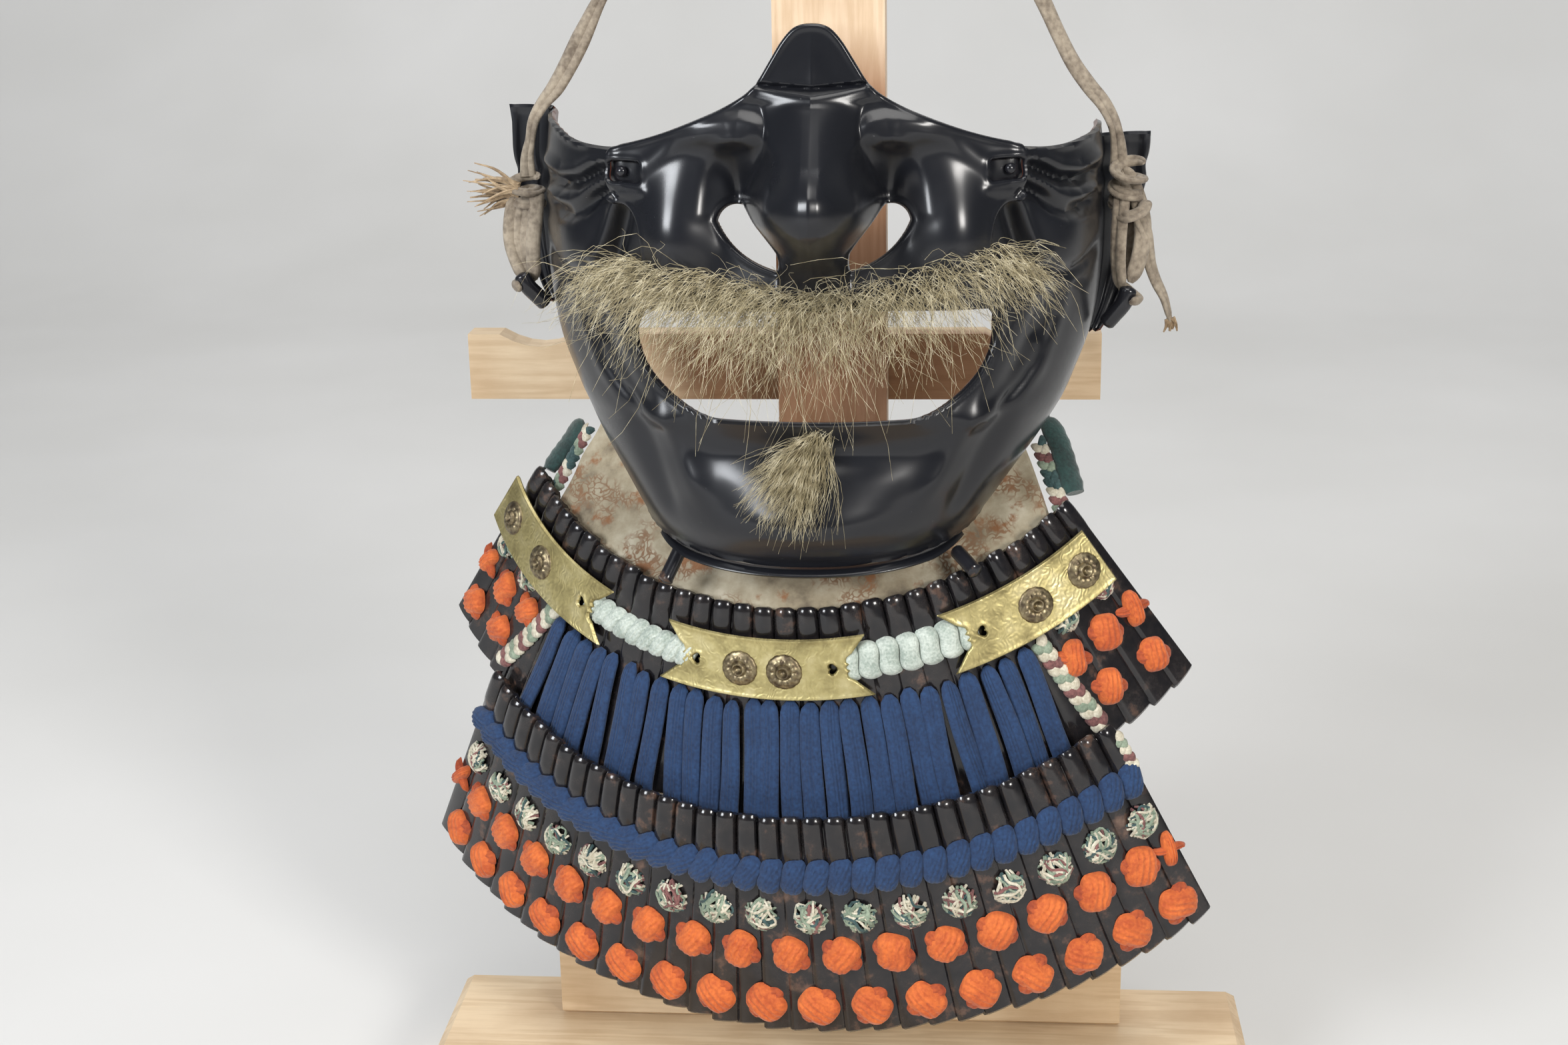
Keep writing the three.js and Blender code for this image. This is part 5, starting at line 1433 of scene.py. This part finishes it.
def tail_points(at, facing):
    """The notched end of a plate: facing 1 for an end on the right."""
    run = np.array([(0, 1), (-2.4, 0.70), (-4.4, 0.44), (-5.9, 0.33), (-6.3, 0.20), (-5.4, 0.10), (-6.6, 0)])
    upper = np.stack([MM * run[:, 0] * facing + at, run[:, 1] * HALF_DEEP], 1)
    return np.concatenate([upper, (upper * (1, -1))[::-1][1:]])


def heart(at, facing):
    """The pierced heart, its point towards the notch."""
    t = np.linspace(0, 2 * np.pi, 28, endpoint=False)
    x = 16 * np.sin(t) ** 3
    y = 13 * np.cos(t) - 5 * np.cos(2 * t) - 2 * np.cos(3 * t) - np.cos(4 * t)
    return np.stack([at - facing * y * HEART_SIZE / 16, x * HEART_SIZE / 16], 1)


middle_slant = (PLATE["top"] + PLATE["bottom"]) / 2


def brass_place(flat):
    angle = np.degrees(flat[..., 0] / PLATE_RADIUS)
    return cone_place(UPPER_CONE, angle, middle_slant - flat[..., 1] / MM, PLATE["lift"] + PLATE["thick"])


def rosette(angle, slant):
    """A chased rivet head: a low dome with rings of petals round a small boss."""
    rings, around = 26, 56
    share = np.linspace(0, 1, rings)[1:]
    share, round_it = np.meshgrid(share, np.linspace(0, 2 * np.pi, around, endpoint=False), indexing="ij")
    dome = 0.85 * np.sqrt(np.clip(1 - share**2, 0, 1)) + 0.5 * bell(share - 0.30, 0.10)
    dome = dome - 0.45 * bell(share, 0.15)
    petals = 0.34 * np.abs(np.sin(6 * round_it)) ** 0.7 * bell(share - 0.64, 0.15)
    petals = petals - 0.2 * bell(share - 0.44, 0.035)
    petals = petals + 0.14 * np.abs(np.sin(14 * round_it + 0.3)) * bell(share - 0.90, 0.07)
    reach = ROSETTE_RADIUS * (1 + 0.03 * np.abs(np.sin(7 * round_it)) * share) * share
    base = PLATE["lift"] + PLATE["thick"] - 0.1
    points = cone_place(
        UPPER_CONE, angle + reach * np.cos(round_it) * degrees_per_mm(UPPER_CONE, slant),
        slant + reach * np.sin(round_it), base + 1.45 * dome + petals,
    ).reshape(-1, 3)
    centre = cone_place(UPPER_CONE, angle, slant, base + 1.45 * 0.45)[None]
    under = cone_place(UPPER_CONE, angle, slant, base)[None]
    grid = np.arange(len(points)).reshape(rings - 1, around)
    faces = np.concatenate([
        quads(grid, closed=True)[:, ::-1],
        close_rim(grid[0][::-1], len(points)),
        close_rim(grid[-1], len(points) + 1),
    ])
    return np.concatenate([points, centre, under]), faces, np.zeros(len(faces), int)


dark_brass, shader, node, link = new_finish("worn_brass", (0.26, 0.21, 0.12), 0.42, 0.9)
tarnish = place_noise(node, 700, 5)
tint(node, link, shader, tarnish, [
    (0.35, (0.10, 0.075, 0.05)), (0.6, (0.27, 0.22, 0.13)), (0.75, (0.44, 0.38, 0.24)),
])
bump(node, link, shader, tarnish, 0.25, 0.0001)
HEART_INSET = 0.0098
RIVET_ROW = 149.6
SPARE = 0.0004
for name, plate in PLATES.items():
    left, right = (math.radians(plate[k]) * PLATE_RADIUS for k in ("from", "to"))
    outline, hearts = [], []
    for end, facing, tailed in ((right, 1, plate["tails"][1]), (left, -1, plate["tails"][0])):
        points = tail_points(end, facing) if tailed else np.array([(end, HALF_DEEP), (end, -HALF_DEEP)])
        outline.append(points[::facing])
        hearts += [heart(end - facing * HEART_INSET, facing)] if tailed else []
    deep = HALF_DEEP + SPARE
    sheet = cut_sheet(
        flat_grid(np.linspace(left - SPARE, right + SPARE, 160), np.linspace(-deep, deep, 48)[::-1]),
        brass_place, PLATE["thick"] * MM, np.concatenate(outline), hearts,
        rim=0.00022, rim_wide=0.0005, back=0,
    )
    put(f"brass_plate_{name}_mount", sheet, [brass], [f"brass_plate_{name}"])
    for i, angle in enumerate(plate["rivets"]):
        rivet = f"rivet_{name}_{i + 1}"
        put(f"{rivet}_rosette", rosette(angle, RIVET_ROW), [dark_brass], [rivet])

# ---- floor, backdrop and lights ------------------------------------------------------------------
# A pale grey floor that curves up into a paler backdrop, under broad soft lights: one overhead, one
# from each side and a wash on the backdrop.
backdrop_finish, shader, node, link = new_finish("backdrop_paper", (0.6, 0.6, 0.6), 0.9)
slow = place_noise(node, 3.5, 3)
tint(node, link, shader, slow, [(0.3, (0.62, 0.615, 0.60)), (0.7, (0.68, 0.675, 0.665))])
bend = np.linspace(0.05, np.pi / 2, 16)
run_back = np.concatenate([[-2.6], np.linspace(-0.6, 1.15, 12), 1.15 + 0.7 * np.sin(bend), [1.85]])
run_up = np.concatenate([np.zeros(13), 0.7 * (1 - np.cos(bend)), [2.6]])
points = [(x, y, z) for y, z in zip(run_back, run_up) for x in np.linspace(-2.8, 2.8, 9)]
faces = quads(np.arange(len(points)).reshape(-1, 9))[:, ::-1]
mesh = bpy.data.meshes.new("backdrop")
mesh.from_pydata(points, [], faces.tolist())
mesh.materials.append(backdrop_finish)
mesh.polygons.foreach_set("use_smooth", np.ones(len(mesh.polygons), bool))
backdrop = bpy.data.objects.new("backdrop", mesh)
bpy.context.scene.collection.objects.link(backdrop)

world = bpy.data.worlds.new("studio")
world.use_nodes = True
world.node_tree.nodes["Background"].inputs["Color"].default_value = (0.90, 0.95, 1.0, 1)
world.node_tree.nodes["Background"].inputs["Strength"].default_value = 0.13
bpy.context.scene.world = world
LIGHTS = [
    # name, place, aim, size, watts, colour
    ("overhead", (0.1, -0.6, 1.7), (0, 0, 0.2), 0.9, 13, (1.0, 0.98, 0.95)),
    ("window_left", (-1.1, -1.25, 0.90), (0, 0, 0.2), 0.6, 27, (0.93, 0.96, 1.0)),
    ("lamp_right", (1.0, -1.3, 0.85), (0, 0, 0.2), 0.4, 19, (1.0, 0.97, 0.93)),
    ("back_wash", (0.0, 0.75, 1.9), (0, 1.5, 0.5), 1.2, 14, (1.0, 1.0, 1.0)),
]
for name, spot, aim, size, watts, color in LIGHTS:
    lamp = bpy.data.lights.new(name, "AREA")
    lamp.shape = "SQUARE"
    lamp.size = size
    lamp.energy = watts
    lamp.color = color
    lamp_object = bpy.data.objects.new(name, lamp)
    lamp_object.location = spot
    lamp_object.rotation_mode = "QUATERNION"
    lamp_object.rotation_quaternion = (Vector(spot) - Vector(aim)).to_track_quat("Z", "Y")
    bpy.context.scene.collection.objects.link(lamp_object)
bpy.context.scene.view_settings.view_transform = "Standard"
